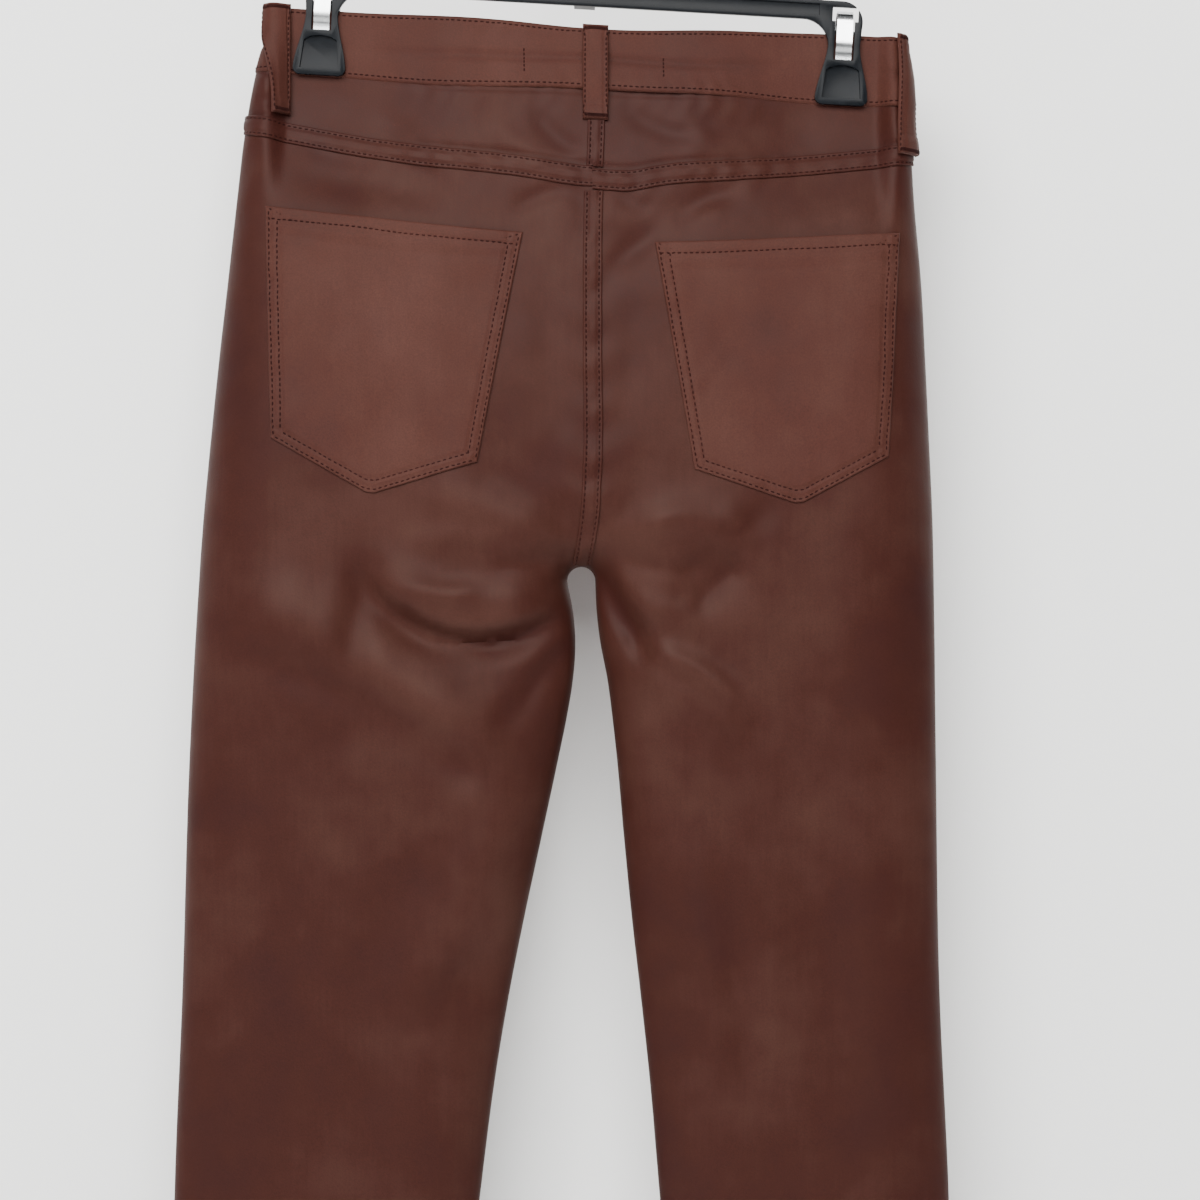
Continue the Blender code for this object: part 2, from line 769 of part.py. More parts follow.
def front_facings(material):
    """The pocket facings that show inside the scooped openings."""
    for left in (True, False):
        corner = side_start(front_top, left)
        inward = 1 if left else -1
        rows = []
        for share in np.linspace(0, FACING_LAST, FACING_LINES):
            down = corner + FACING_DEEP * share
            side = float(side_line(down, left))
            width = FACING_WIDE * math.sqrt(1 - share ** 2)
            x = side + inward * width * column_shares(width, down, down, 1.0, 0.0)
            drop = (front_top(x) - corner) * (1 - share)
            rows.append(np.stack([x, down + drop], axis=-1))
        deeper = np.linspace(0, FACING_SINK_RATE, FACING_LINES)
        sink = FACING_SINK * ease(deeper)[:, None]
        high = -(CLOTH + REST_GAP) - sink
        low = high - FACING_CLOTH
        name = "facing_" + side_name(left)
        lay_on(name, np.array(rows), True, low, high, material, locks=((0, 1),))


# Corners of the back pockets: two at the mouth, then the outline round the point.
POCKETS = table(
    "left mouth_x0 mouth_down0 mouth_x1 mouth_down1 x0 down0 point_x point_down x1 down1",
    (1, -184.5, 102.3, -39.3, 117.5, -180.5, 233.9, -125.1, 265.6, -64.7, 247.5),
    (0, 35.3, 123.2, 173.2, 117.5, 57.3, 251.4, 116.1, 271.2, 166.4, 244.1),
)
POCKET_COLUMNS = 6
POCKET_LINES = 11
POCKET_GAP = 0.7
MOUTH_GAPE = 1.6
MOUTH_REACH = 0.25


def back_pockets(material):
    """The five-sided back pockets, each standing a little open along its mouth."""
    for row in zip(*POCKETS.values()):
        left, x_a, down_a, x_b, down_b, x_e, down_e, x_p, down_p, x_c, down_c = row
        point = (x_p - x_e) / (x_c - x_e)
        to_point = np.linspace(0, point, POCKET_COLUMNS + 1)
        from_point = np.linspace(point, 1, POCKET_COLUMNS)[1:]
        shares = np.concatenate([to_point, from_point])
        low_down = np.interp(shares, [0, point, 1], [down_e, down_p, down_c])
        low = np.stack([x_e + (x_c - x_e) * shares, low_down], axis=-1)
        high_down = down_a + (down_b - down_a) * shares
        high = np.stack([x_a + (x_b - x_a) * shares, high_down], axis=-1)
        lines = np.linspace(0, 1, POCKET_LINES)
        rows = high + (low - high) * lines[:, None, None]
        gape = MOUTH_GAPE * np.sin(math.pi * shares) * ease(1 - lines / MOUTH_REACH)[:, None]
        lift = POCKET_GAP + gape
        name = "pocket_" + side_name(left == 1)
        lay_on(name, rows, False, lift, lift + CLOTH, material)


# Belt loops: which half and face each is on, where its edge nearest the centre seam lies,
# how far it reaches below the waistband, and how much its lower end is raised by a seam.
LOOPS = table(
    "left front x below raise",
    (1, 0, -172.0, 24.0, 1.8),
    (1, 0, 9.0, 17.8, 0.0),
    (0, 0, 172.6, 28.0, 1.5),
    (1, 1, -84.0, 20.0, 0.0),
    (0, 1, 84.0, 20.0, 0.0),
)
LOOP_NAMES = ("back_left", "back_centre", "back_right", "front_left", "front_right")
LOOP_WIDE = 14.6
LOOP_COLUMNS = 5
LOOP_CLOTH = 1.8
LOOP_END_CLOTH = 2.8
LOOP_ABOVE = 2.0
LOOP_SHAPE = table(
    "along lift fold",
    (0.0, 1.5, 1),
    (0.08, 1.8, 1),
    (0.16, 2.9, 0),
    (0.36, 3.9, 0),
    (0.56, 3.6, 0),
    (0.72, 2.3, 0),
    (0.84, 1.4, 0),
    (0.88, 1.0, 1),
    (1.0, 0.8, 1),
)
LOOP_RAISED_FROM = 2 / 3
SECTION_POINTS = 400
SECTION_REACH = 1.15


def section(left, front, down_of):
    """The body's outline at a height, past the side and on to the other face.

    The distances round it start at the side and grow towards the centre of its own face.
    """
    parts = []
    shares = np.linspace(0, 1, SECTION_POINTS) ** 2 * SECTION_REACH
    for face in (front, not front):
        start = side_start(lambda x: down_of(x, face), left)
        side = side_line(start, left)
        x = side + (centre_line(start) - side) * shares
        down = down_of(x, face)
        y = depth_at(x, down, face) * (1 if face else -1)
        parts.append(np.stack([x, y, down], axis=-1))
    path = np.concatenate([parts[1][:0:-1], parts[0]])
    steps = np.linalg.norm(np.diff(path[:, :2], axis=0), axis=-1)
    around = np.concatenate([[0], np.cumsum(steps)])
    return path, around - around[SECTION_POINTS - 1]


def belt_loops(material):
    """The belt loops, each following the body's outline and bowed between its two ends."""
    for name, left, front, x, below, lifted in zip(LOOP_NAMES, *LOOPS.values()):
        rows = []
        for along in LOOP_SHAPE["along"]:
            def down_of(x, front, along=along):
                start = band_top(x, front) - LOOP_ABOVE
                return start * (1 - along) + (band_bottom(x, front) + below) * along

            path, places = section(left == 1, front == 1, down_of)
            own_face = path[SECTION_POINTS - 1:]
            inward = 1 if left else -1
            edge = np.interp(x * inward, own_face[:, 0] * inward, places[SECTION_POINTS - 1:])
            across = edge - np.linspace(LOOP_WIDE, 0, LOOP_COLUMNS)
            rows.append([[np.interp(a, places, path[:, k]) for k in range(3)] for a in across])
        grid = np.array(rows)
        base = in_metres(grid)
        normals = grid_normals(base, False, flip=left == front)
        low_end = ease((LOOP_SHAPE["along"] - LOOP_RAISED_FROM) / (1 - LOOP_RAISED_FROM))
        lift = (LOOP_SHAPE["lift"] + lifted * low_end)[:, None, None]
        thick = LOOP_CLOTH + (LOOP_END_CLOTH - LOOP_CLOTH) * LOOP_SHAPE["fold"][:, None, None]
        outer = base + normals * (lift + thick) * MM
        cloth_wall("loop_" + name, outer, base + normals * lift * MM, material)


HEM_LINES = 3


def hem_bands(material):
    """The doubled hem at the end of each leg, as one closed ring."""
    for left in (True, False):
        rows = []
        for down in np.linspace(HEM_DOWN - HEM_HEIGHT + SEAM_GAP, HEM_DOWN, HEM_LINES):
            side = float(side_line(down, left))
            inseam = float(inseam_left(down) if left else inseam_right(down))
            x = side + (inseam - side) * column_shares(abs(inseam - side), down, down, 1.0, 1.0)
            height = np.full(len(x), down)
            back = np.stack([x, -depth_at(x, height, False), height], axis=-1)
            front = np.stack([x, depth_at(x, height, True), height], axis=-1)
            rows.append(np.concatenate([back, front[-2:0:-1]]))
        grid = np.array(rows)
        base = in_metres(grid)
        normals = grid_normals(base, True, flip=not left)
        outer = base + normals * HEM_STEP * MM
        inner = outer - normals * BAND_CLOTH * MM
        cloth_wall("hem_" + side_name(left), outer, inner, material, wrap=True)


FLY_LEFT = -37.0
FLY_RIGHT = 4.0
FLY_LONG = 150.0
FLY_CURVE = 0.62
FLY_LINES = 11
FLY_COLUMNS = 5
FLY_LAST = 0.985


def fly_flap(material):
    """The flap over the zip, with its curved lower end."""
    rows = []
    for share in np.linspace(0, FLY_LAST, FLY_LINES):
        turn = max(0.0, (share - FLY_CURVE) / (1 - FLY_CURVE))
        reach = FLY_RIGHT + (FLY_LEFT - FLY_RIGHT) * math.sqrt(1 - turn ** 2)
        x = np.linspace(reach, FLY_RIGHT, FLY_COLUMNS)
        x = x + centre_line(front_top(0.0) + FLY_LONG * share)
        rows.append(np.stack([x, front_top(x) + FLY_LONG * share], axis=-1))
    lay_on("fly_flap", np.array(rows), True, REST_GAP, REST_GAP + CLOTH, material)


BUTTON_RADIUS = 8.5
BUTTON_THICK = 3.2
BUTTON_RIM = 0.8
BUTTON_SIDES = 28
BUTTON_DROP = 18.0


def fly_button(material):
    """The waistband's button, a plain disc with a rounded rim."""
    down = float(band_top(0.0, True)) + BUTTON_DROP
    downs = down + np.array([-BUTTON_RADIUS, 0.0, BUTTON_RADIUS])
    faces_at = depth_at(np.zeros(3), downs, True)
    lean = math.atan2(faces_at[2] - faces_at[0], 2 * BUTTON_RADIUS)
    near = faces_at[1] + BAND_STEP + REST_GAP
    profile = [(BUTTON_RADIUS - BUTTON_RIM, 0.0), (BUTTON_RADIUS, BUTTON_RIM)]
    profile += [(BUTTON_RADIUS, BUTTON_THICK - BUTTON_RIM)]
    profile += [(BUTTON_RADIUS - BUTTON_RIM, BUTTON_THICK)]
    vertices = []
    for radius, height in profile:
        for turn in np.arange(BUTTON_SIDES) / BUTTON_SIDES * math.tau:
            x, z = radius * math.cos(turn), radius * math.sin(turn)
            vertices.append((x * MM, height * MM, z * MM))
    faces = []
    for ring in range(len(profile) - 1):
        for k in range(BUTTON_SIDES):
            a, b = ring * BUTTON_SIDES + k, ring * BUTTON_SIDES + (k + 1) % BUTTON_SIDES
            faces.append((a, b, b + BUTTON_SIDES, a + BUTTON_SIDES))
    top = (len(profile) - 1) * BUTTON_SIDES
    faces.append(tuple(range(BUTTON_SIDES)))
    faces.append(tuple(range(top, top + BUTTON_SIDES)))
    button = make_object("button", vertices, faces, material)
    button.location = (CENTRE_X * MM, near * MM, -(WAIST_DROP + down) * MM)
    button.rotation_euler = (lean, 0, 0)


# The hanger, in its own upright frame: "a" runs along the bar and "h" up from the hook's crown.
BAR_TOP = -105.5
BAR_UNDER = -116.5
BAR_RIB_END = 138.0
CLIP_A = 149.0
NECK_HALF = 9.0
NECK_H = -131.0
JAW_HALF = 15.0
JAW_BOTTOM = -164.5
JAW_CORNER = 4.0
JAW_FACE = 4.2
JAW_THICK = 3.0
BEND_RADIUS = 15.0
END_RADIUS = 12.0
WINDOW_HALF = 5.6
WINDOW_TOP = -108.8
WINDOW_BOTTOM = -140.0
BOSS_HALF = 8.0
BOSS_TOP = -95.0
HOOK_WIRE = 1.9
HOOK_INNER = 20.0
HOOK_END = -113.0
HOOK_HOLE = 2.3
HOLE_SIDES = 16
HOOK_STRAIGHT = -90.0
RIB_INSET = 0.6
RIB_SINK = 1.0
RIB_BACK = -1.2
BOSS_INSET = 0.3
BOSS_SINK = 0.5
BOSS_BACK = 5.5
CORNER_CUT = 4.0
SPRING_HALF = 4.5
SPRING_SHEET = 0.8
SPRING_CLEAR = 1.5
REAR_JAW_TOP = -120.0
REAR_CORNER = 4.0


def arc(centre_a, centre_h, radius, start, end, steps=5):
    """Places round a circle, from one angle in degrees to another."""
    turns = np.radians(np.linspace(start, end, steps))
    return [(centre_a + radius * math.cos(t), centre_h + radius * math.sin(t)) for t in turns]


def jaw_sides(centre, outer_side):
    """One edge of a jaw, from its neck to the middle of its bottom."""
    corner_a = centre + outer_side * (JAW_HALF - JAW_CORNER)
    start, end = (0, -90) if outer_side > 0 else (180, 270)
    bottom = arc(corner_a, JAW_BOTTOM + JAW_CORNER, JAW_CORNER, start, end, 4)
    return [(centre + outer_side * NECK_HALF, NECK_H)] + bottom


def hanger_outline():
    """Outline of the bar with both front jaws, anticlockwise from the middle of its underside."""
    half = [(BOSS_HALF, BAR_UNDER)]
    bend_a = CLIP_A - NECK_HALF - BEND_RADIUS
    half += arc(bend_a, BAR_UNDER - BEND_RADIUS, BEND_RADIUS, 90, 8, 5)
    half += jaw_sides(CLIP_A, -1)
    half += jaw_sides(CLIP_A, 1)[::-1]
    end_a = CLIP_A + NECK_HALF + 1.0 - END_RADIUS
    half += arc(end_a, BAR_TOP - END_RADIUS, END_RADIUS, 0, 90, 5)
    half += [(BOSS_HALF + CORNER_CUT, BAR_TOP), (BOSS_HALF, BAR_TOP + CORNER_CUT)]
    half += [(BOSS_HALF - CORNER_CUT / 2, BOSS_TOP)]
    mirrored = [(-a, h) for a, h in half[::-1]]
    return half + mirrored


def prism(name, outline, near, far, material):
    """An outline in the hanger's plane, made solid between two depths."""
    count = len(outline)
    vertices = [(a * MM, near * MM, h * MM) for a, h in outline]
    vertices += [(a * MM, far * MM, h * MM) for a, h in outline]
    faces = [tuple(range(count)), tuple(range(count, 2 * count))]
    for k in range(count):
        n = (k + 1) % count
        faces.append((k, n, count + n, count + k))
    return make_object(name, vertices, faces, material)


def rectangle(a0, a1, h0, h1):
    """An upright rectangle in the hanger's plane."""
    return [(a0, h0), (a1, h0), (a1, h1), (a0, h1)]


def combine(body, other, operation):
    """Joins a helper to the body or cuts it away, and keeps the helper out of the part."""
    step = body.modifiers.new(operation.title(), "BOOLEAN")
    step.operation = operation
    step.solver = "EXACT"
    step.object = other
    other.hide_render = True
    other.hide_viewport = True
    other.display_type = "WIRE"


def hook_hole(material):
    """The helper that bores the boss for the hook's shank."""
    turns = np.arange(HOLE_SIDES) / HOLE_SIDES * math.tau
    round_hole = [(HOOK_HOLE * math.cos(t), HOOK_HOLE * math.sin(t)) for t in turns]
    points = []
    for h in (HOOK_END - SEAM_GAP, BOSS_TOP + CORNER_CUT / 2):
        points += [(x * MM, y * MM, h * MM) for x, y in round_hole]
    faces = [tuple(range(HOLE_SIDES)), tuple(range(HOLE_SIDES, 2 * HOLE_SIDES))]
    for k in range(HOLE_SIDES):
        n = (k + 1) % HOLE_SIDES
        faces.append((k, n, HOLE_SIDES + n, HOLE_SIDES + k))
    return make_object("hole_helper", points, faces, material)


def hanger(plastic, steel):
    """The bar with its front jaws, then the rear jaws, the springs and the hook."""
    frame = bpy.data.objects.new("hanger_frame", None)
    bpy.context.collection.objects.link(frame)
    frame.rotation_euler = (0, TILT, 0)
    front = -(JAW_FACE + JAW_THICK)
    body = prism("hanger", hanger_outline(), front, -JAW_FACE, plastic)
    rib = rectangle(-BAR_RIB_END, BAR_RIB_END, BAR_UNDER + RIB_INSET, BAR_TOP - RIB_INSET)
    helpers = [(prism("rib_helper", rib, front + RIB_SINK, RIB_BACK, plastic), "UNION")]
    half = BOSS_HALF - CORNER_CUT / 2
    boss = rectangle(-half, half, BAR_UNDER + BOSS_INSET, BOSS_TOP - BOSS_INSET)
    boss_helper = prism("boss_helper", boss, front + BOSS_SINK, BOSS_BACK, plastic)
    helpers.append((boss_helper, "UNION"))
    for side in (-1, 1):
        a = CLIP_A * side
        window = rectangle(a - WINDOW_HALF, a + WINDOW_HALF, WINDOW_BOTTOM, WINDOW_TOP)
        helpers.append((prism("window_helper", window, front - 1, 0, plastic), "DIFFERENCE"))
    helpers.append((hook_hole(plastic), "DIFFERENCE"))
    pieces = [body]
    for helper, operation in helpers:
        combine(body, helper, operation)
        pieces.append(helper)
    for side, name in ((-1, "left"), (1, "right")):
        pieces.append(rear_jaw("rear_jaw_" + name, CLIP_A * side, plastic))
        pieces.append(clip_spring("spring_" + name, CLIP_A * side, steel))
    pieces.append(hook(steel))
    for piece in pieces:
        piece.parent = frame


def rear_jaw(name, centre, material):
    """The jaw of a clip on the far side of the cloth."""
    outline = jaw_sides(centre, -1) + jaw_sides(centre, 1)[::-1]
    reach, height = NECK_HALF - REAR_CORNER, REAR_JAW_TOP - REAR_CORNER
    outline += arc(centre + reach, height, REAR_CORNER, 0, 90, 3)
    outline += arc(centre - reach, height, REAR_CORNER, 90, 180, 3)
    return prism(name, outline, JAW_FACE, JAW_FACE + JAW_THICK, material)


SPRING_FRONT = table(
    "y h",
    (-6.0, -139.6),
    (-6.3, -135.0),
    (-7.7, -130.0),
    (-7.3, -123.0),
    (-6.6, -118.0),
)
SPRING_REAR_Y = 7.9
SPRING_REAR_END = -141.0


def clip_spring(name, centre, material):
    """A bent strip of spring steel, over the top of both jaws."""
    path = list(zip(SPRING_FRONT["y"], SPRING_FRONT["h"]))
    start_y, start_h = path[-1]
    middle = (start_y + SPRING_REAR_Y) / 2
    radius = (SPRING_REAR_Y - start_y) / 2
    crown = arc(middle, start_h, radius, 180, 0, 9)
    flat = (WINDOW_TOP - SPRING_CLEAR - start_h) / radius
    path += [(y, start_h + (h - start_h) * flat) for y, h in crown[1:]]
    path.append((SPRING_REAR_Y, SPRING_REAR_END))
    path = np.array(path)
    along = np.gradient(path, axis=0)
    along /= np.linalg.norm(along, axis=1, keepdims=True)
    normal = np.stack([-along[:, 1], along[:, 0]], axis=-1) * SPRING_SHEET / 2
    ring = np.concatenate([path + normal, (path - normal)[::-1]])
    count = len(ring)
    vertices = []
    for a in (centre - SPRING_HALF, centre + SPRING_HALF):
        vertices += [(a * MM, y * MM, h * MM) for y, h in ring]
    faces = [(k, (k + 1) % count, count + (k + 1) % count, count + k) for k in range(count)]
    half = len(path)
    for k in range(half - 1):
        quad = (k, k + 1, count - 2 - k, count - 1 - k)
        faces.append(quad)
        faces.append(tuple(count + v for v in quad[::-1]))
    return make_object(name, vertices, faces, material)


HOOK_NECK = table("a h", (0.0, -66.0), (3.0, -55.0), (10.5, -44.0), (17.9, -32.6))
HOOK_STARTS = -35.0
HOOK_STOPS = 205.0
HOOK_NECK_POINTS = 9
HOOK_TURN_POINTS = 19


def hook(material):
    """The round wire hook. Its inner crown is the origin of the part."""
    places = np.arange(len(HOOK_NECK["a"]), dtype=float)
    reading = np.linspace(0, places[-1], HOOK_NECK_POINTS)
    a = smooth_curve(places, HOOK_NECK["a"])(reading)
    h = smooth_curve(places, HOOK_NECK["h"])(reading)
    points = [(0.0, HOOK_END), (0.0, HOOK_STRAIGHT)] + list(zip(a, h))
    radius = HOOK_INNER + HOOK_WIRE
    points += arc(0.0, -HOOK_INNER, radius, HOOK_STARTS, HOOK_STOPS, HOOK_TURN_POINTS)[1:]
    line = bpy.data.curves.new("hook", "CURVE")
    line.dimensions = "3D"
    line.bevel_depth = HOOK_WIRE * MM
    line.bevel_resolution = 2
    line.use_fill_caps = True
    spline = line.splines.new("POLY")
    spline.points.add(len(points) - 1)
    for place, (x, z) in zip(spline.points, points):
        place.co = (x * MM, 0, z * MM, 1)
    line.materials.append(material)
    result = bpy.data.objects.new("hook", line)
    bpy.context.collection.objects.link(result)
    return result


def clear_scene():
    """Removes whatever the scene starts with."""
    for item in list(bpy.data.objects):
        bpy.data.objects.remove(item, do_unlink=True)


def main():
    """Builds every piece, with one finish for each kind of surface."""
    clear_scene()
    cloth = make_material("coated_cloth", (0.13, 0.047, 0.033), 0.42)
    plastic = make_material("hanger_plastic", (0.022, 0.026, 0.031), 0.36)
    steel = make_material("spring_steel", (0.62, 0.63, 0.64), 0.24, 1.0)
    brass = make_material("button_metal", (0.42, 0.31, 0.19), 0.34, 1.0)
    back_tops = back_panels(cloth)
    yoke_bottoms = yokes(cloth)
    front_panels(cloth)
    front_facings(cloth)
    waistband(cloth)
    back_pockets(cloth)
    felled_strips(yoke_bottoms, back_tops, cloth)
    belt_loops(cloth)
    fly_flap(cloth)
    hem_bands(cloth)
    fly_button(brass)
    hanger(plastic, steel)


main()
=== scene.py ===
# %% [markdown]
# Coated jeans on a clip hanger, seen from behind.
# The real pair is one waistband, two yokes, four leg panels and a few small pieces, all cut
# from a stretch cloth with a soft wax-like coating, and it hangs from a plastic clip hanger.
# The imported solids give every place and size. This lesson lays finer cloth on them: the same
# tables of edges and depths, read on a closer grid, with creases, puckers and stitches added.

import math

import bpy
import numpy as np
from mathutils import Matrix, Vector


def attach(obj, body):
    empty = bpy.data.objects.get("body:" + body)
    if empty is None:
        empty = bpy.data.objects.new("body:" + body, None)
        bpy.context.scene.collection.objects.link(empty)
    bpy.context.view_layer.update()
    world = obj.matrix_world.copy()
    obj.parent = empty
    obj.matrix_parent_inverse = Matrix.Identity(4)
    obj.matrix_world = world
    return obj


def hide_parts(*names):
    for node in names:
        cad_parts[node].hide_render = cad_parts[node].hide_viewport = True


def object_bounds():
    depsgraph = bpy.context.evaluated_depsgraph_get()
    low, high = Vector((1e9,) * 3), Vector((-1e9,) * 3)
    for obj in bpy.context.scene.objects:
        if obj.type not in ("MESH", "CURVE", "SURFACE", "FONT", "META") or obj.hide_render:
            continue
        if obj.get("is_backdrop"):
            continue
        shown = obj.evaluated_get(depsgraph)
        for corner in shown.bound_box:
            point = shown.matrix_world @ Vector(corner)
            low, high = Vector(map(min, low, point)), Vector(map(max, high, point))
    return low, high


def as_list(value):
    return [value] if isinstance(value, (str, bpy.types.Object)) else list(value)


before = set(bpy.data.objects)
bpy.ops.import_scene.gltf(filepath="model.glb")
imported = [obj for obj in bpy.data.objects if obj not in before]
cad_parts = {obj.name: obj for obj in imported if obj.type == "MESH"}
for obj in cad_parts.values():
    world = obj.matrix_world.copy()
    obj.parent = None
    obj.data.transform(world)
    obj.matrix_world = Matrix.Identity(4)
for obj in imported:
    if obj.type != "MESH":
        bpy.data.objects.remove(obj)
cad_low, cad_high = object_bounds()
cad_box = [[float(v) for v in cad_low], [float(v) for v in cad_high]]
print("packed box in metres:", cad_box)

# %% [markdown]
# The camera comes first. The pair fills the view from the waistband to the knee, so the view
# is 0.678 m wide at the cloth. A long lens from 1.6 m away keeps the sides nearly parallel.

# %% Camera
SENSOR_WIDE = 36.0
VIEW_WIDE = 0.678
VIEW_CENTRE = (0.0022, -0.4549)
CAMERA_AWAY = 1.6
NEAR_FACE = 0.02


def linked(name, data):
    """A new object with this data, linked to the scene."""
    item = bpy.data.objects.new(name, data)
    bpy.context.scene.collection.objects.link(item)
    return item


camera_data = bpy.data.cameras.new("view")
camera_data.sensor_width = SENSOR_WIDE
camera_data.lens = SENSOR_WIDE * (CAMERA_AWAY - NEAR_FACE) / VIEW_WIDE
camera = linked("view", camera_data)
camera.location = (VIEW_CENTRE[0], -CAMERA_AWAY, VIEW_CENTRE[1])
camera.rotation_euler = (math.pi / 2, 0, 0)
bpy.context.scene.camera = camera
print("lens", round(camera_data.lens, 1), "mm")

# %% [markdown]
# Every piece of cloth lies on one hollow form. Tables give its outline and its depth in
# millimetres: "down" runs down from the top of the waistband at centre back, and "x" runs
# across from the centre back seam. They hold the same numbers as the part's own tables.

# %% Sizes and tables
MM = 0.001
WAIST_DROP = 130.0
CENTRE_X = -2.0
HEM_DOWN = 1016.0
HEM_HEIGHT = 15.0
CLOTH = 1.2
BAND_CLOTH = 2.4
BAND_STEP = 0.8
REST_GAP = 0.5
STRIP_CLOTH = 0.8
FRONT_DIP = 26.0
TILT = math.radians(3.3)
ARCH_X = -6.5
ARCH_DOWN = 314.0
ARCH_RADIUS = 8.0
CLIP_PLACES = (-155.5, 142.5)
CLIP_FLAT = 18.5
CLIP_OUTER_EASE = 13.0
CLIP_INNER_EASE = 75.0
CLIP_BELOW = 42.0
CLIP_BELOW_EASE = 90.0
CLIPPED_DEPTH = 3.0


def table(names, text):
    """A table with named columns, as one array for each name."""
    rows = np.array([line.split() for line in text.strip().splitlines()], float)
    return dict(zip(names.split(), rows.T))


def smooth_curve(place, value):
    """A smooth curve through the points, read at any place between the first and the last."""
    slope = np.gradient(value, place)

    def read(at):
        at = np.clip(at, place[0], place[-1])
        low = np.clip(np.searchsorted(place, at, side="right") - 1, 0, len(place) - 2)
        span = place[low + 1] - place[low]
        t = (at - place[low]) / span
        start = (1 + 2 * t) * (1 - t) ** 2 * value[low] + t * (1 - t) ** 2 * span * slope[low]
        end = t * t * (3 - 2 * t) * value[low + 1] + t * t * (t - 1) * span * slope[low + 1]
        return start + end

    return read


def ease(t):
    """Runs smoothly from 0 to 1 as t does."""
    t = np.clip(t, 0.0, 1.0)
    return t * t * (3 - 2 * t)


SIDES = table("down left right", """
-14 -185 175.5
0 -186.2 176
17 -191 177.5
59 -199 181.5
99 -203.7 184
144 -208.7 187.9
189 -213.8 190.3
234 -218.4 192.4
280 -222.7 194.4
331 -226.2 195.4
415 -230.6 196.4
551 -234.8 198.6
663 -239.2 203.7
840 -238.6 205.5
1016 -234.5 203.5
""")
INSEAMS = table("down left right", """
314 -14.5 1.5
330 -11.4 2.2
348 -9.9 4.2
370 -11.2 8.4
393 -15 11.4
415 -19.5 13.8
460 -29.1 17.8
506 -39 22.3
551 -47.9 27.4
596 -55.4 32.3
663 -64.1 38.1
840 -83.5 55.5
1016 -102.5 71.5
""")
CENTRE_LINE = table("down x", """
-20 1
60 2
100 0.5
180 0
250 0
283 -2.2
306 -6.5
""")
BAND_TOP = table("x down", """
-194 -14.5
-146 -11.3
-52 -5.3
-8 -0.8
12 0.4
83 0.6
132 1.7
184 4.6
""")
BAND_BOTTOM = table("x down", """
-200 23.4
-140 27
-86 32.4
-20 34
26 36.4
83 38.6
111 41
190 44.6
""")
YOKE_SEAM_LEFT = table("x down", """
-205 48
-167 55.6
-92 68.7
-41 74.8
-7 80
3 80.8
""")
YOKE_SEAM_RIGHT = table("x down", """
-3 81.8
8 82.8
21 83.2
39 80
83 76.3
117 73.5
190 66
""")
DEPTH = table("down back front side_round gap_round", """
-14 9 9 14 60
0 9 9 14 60
35 13 11 18 60
80 19 15 30 60
150 27 20 46 60
230 31 23 54 52
300 30 24 56 42
360 27 22 56 44
450 24 20 54 48
560 21 18 52 48
663 18 16 50 46
840 15 14 42 42
1016 12 12 38 38
""")
# Each fold runs from its start to its end and sags sideways by its sag. A positive depth
# is a trough and a negative one a ridge.
BACK_FOLDS = table("x0 down0 x1 down1 sag width depth", """
-132 318 -12 336 24 9 7
-122 300 -18 316 18 12 -4.5
-10 352 -56 402 0 9 3
-128 300 -138 366 0 11 3
-1 306 34 362 0 8 7
18 366 92 396 -4 15 -4.5
24 284 92 290 -6 15 -4
86 300 44 328 0 15 4
-26 290 -96 250 0 18 -2.5
82 90 8 137 4 13 2.5
-168 82 -78 94 0 11 2.5
-222 330 -52 424 -10 34 -6
-40 430 -112 612 8 20 -5
-52 520 -130 616 6 17 4.5
56 450 74 620 0 16 -3
120 420 132 640 0 20 2.5
-150 640 -176 800 0 18 -4
98 690 120 820 0 17 -4
-130 800 -190 850 0 13 3.5
100 850 168 884 0 13 3.5
""")
FRONT_FOLDS = table("x0 down0 x1 down1 sag width depth", """
-14 300 -92 262 4 11 4.5
6 300 84 256 -4 11 4.5
-18 322 -110 318 6 12 4
8 326 104 320 6 12 4
-24 282 -96 236 0 14 -3
14 280 90 232 0 14 -3
-40 350 -150 420 0 22 -4
36 356 140 430 0 22 -4
-120 440 -146 640 0 20 3.5
96 450 118 650 0 20 3.5
-190 650 -128 690 0 14 3.5
170 640 100 684 0 14 3.5
-160 760 -172 930 0 16 -3
128 770 142 930 0 16 -3
""")


def curves(rows, *names):
    """Columns of a table, each as a smooth curve over the table's first column."""
    place = next(iter(rows.values()))
    return [smooth_curve(place, rows[name]) for name in names]


side_left, side_right = curves(SIDES, "left", "right")
inseam_left, inseam_right = curves(INSEAMS, "left", "right")
(centre_line,) = curves(CENTRE_LINE, "x")
band_top_back, band_bottom_back, yoke_seam_left, yoke_seam_right = (
    curves(rows, "down")[0] for rows in (BAND_TOP, BAND_BOTTOM, YOKE_SEAM_LEFT, YOKE_SEAM_RIGHT)
)
depth_back, depth_front, side_round, gap_round = curves(DEPTH, "back", "front", "side_round", "gap_round")
print("outline points:", len(SIDES["down"]), "sides,", len(INSEAMS["down"]), "inseams")
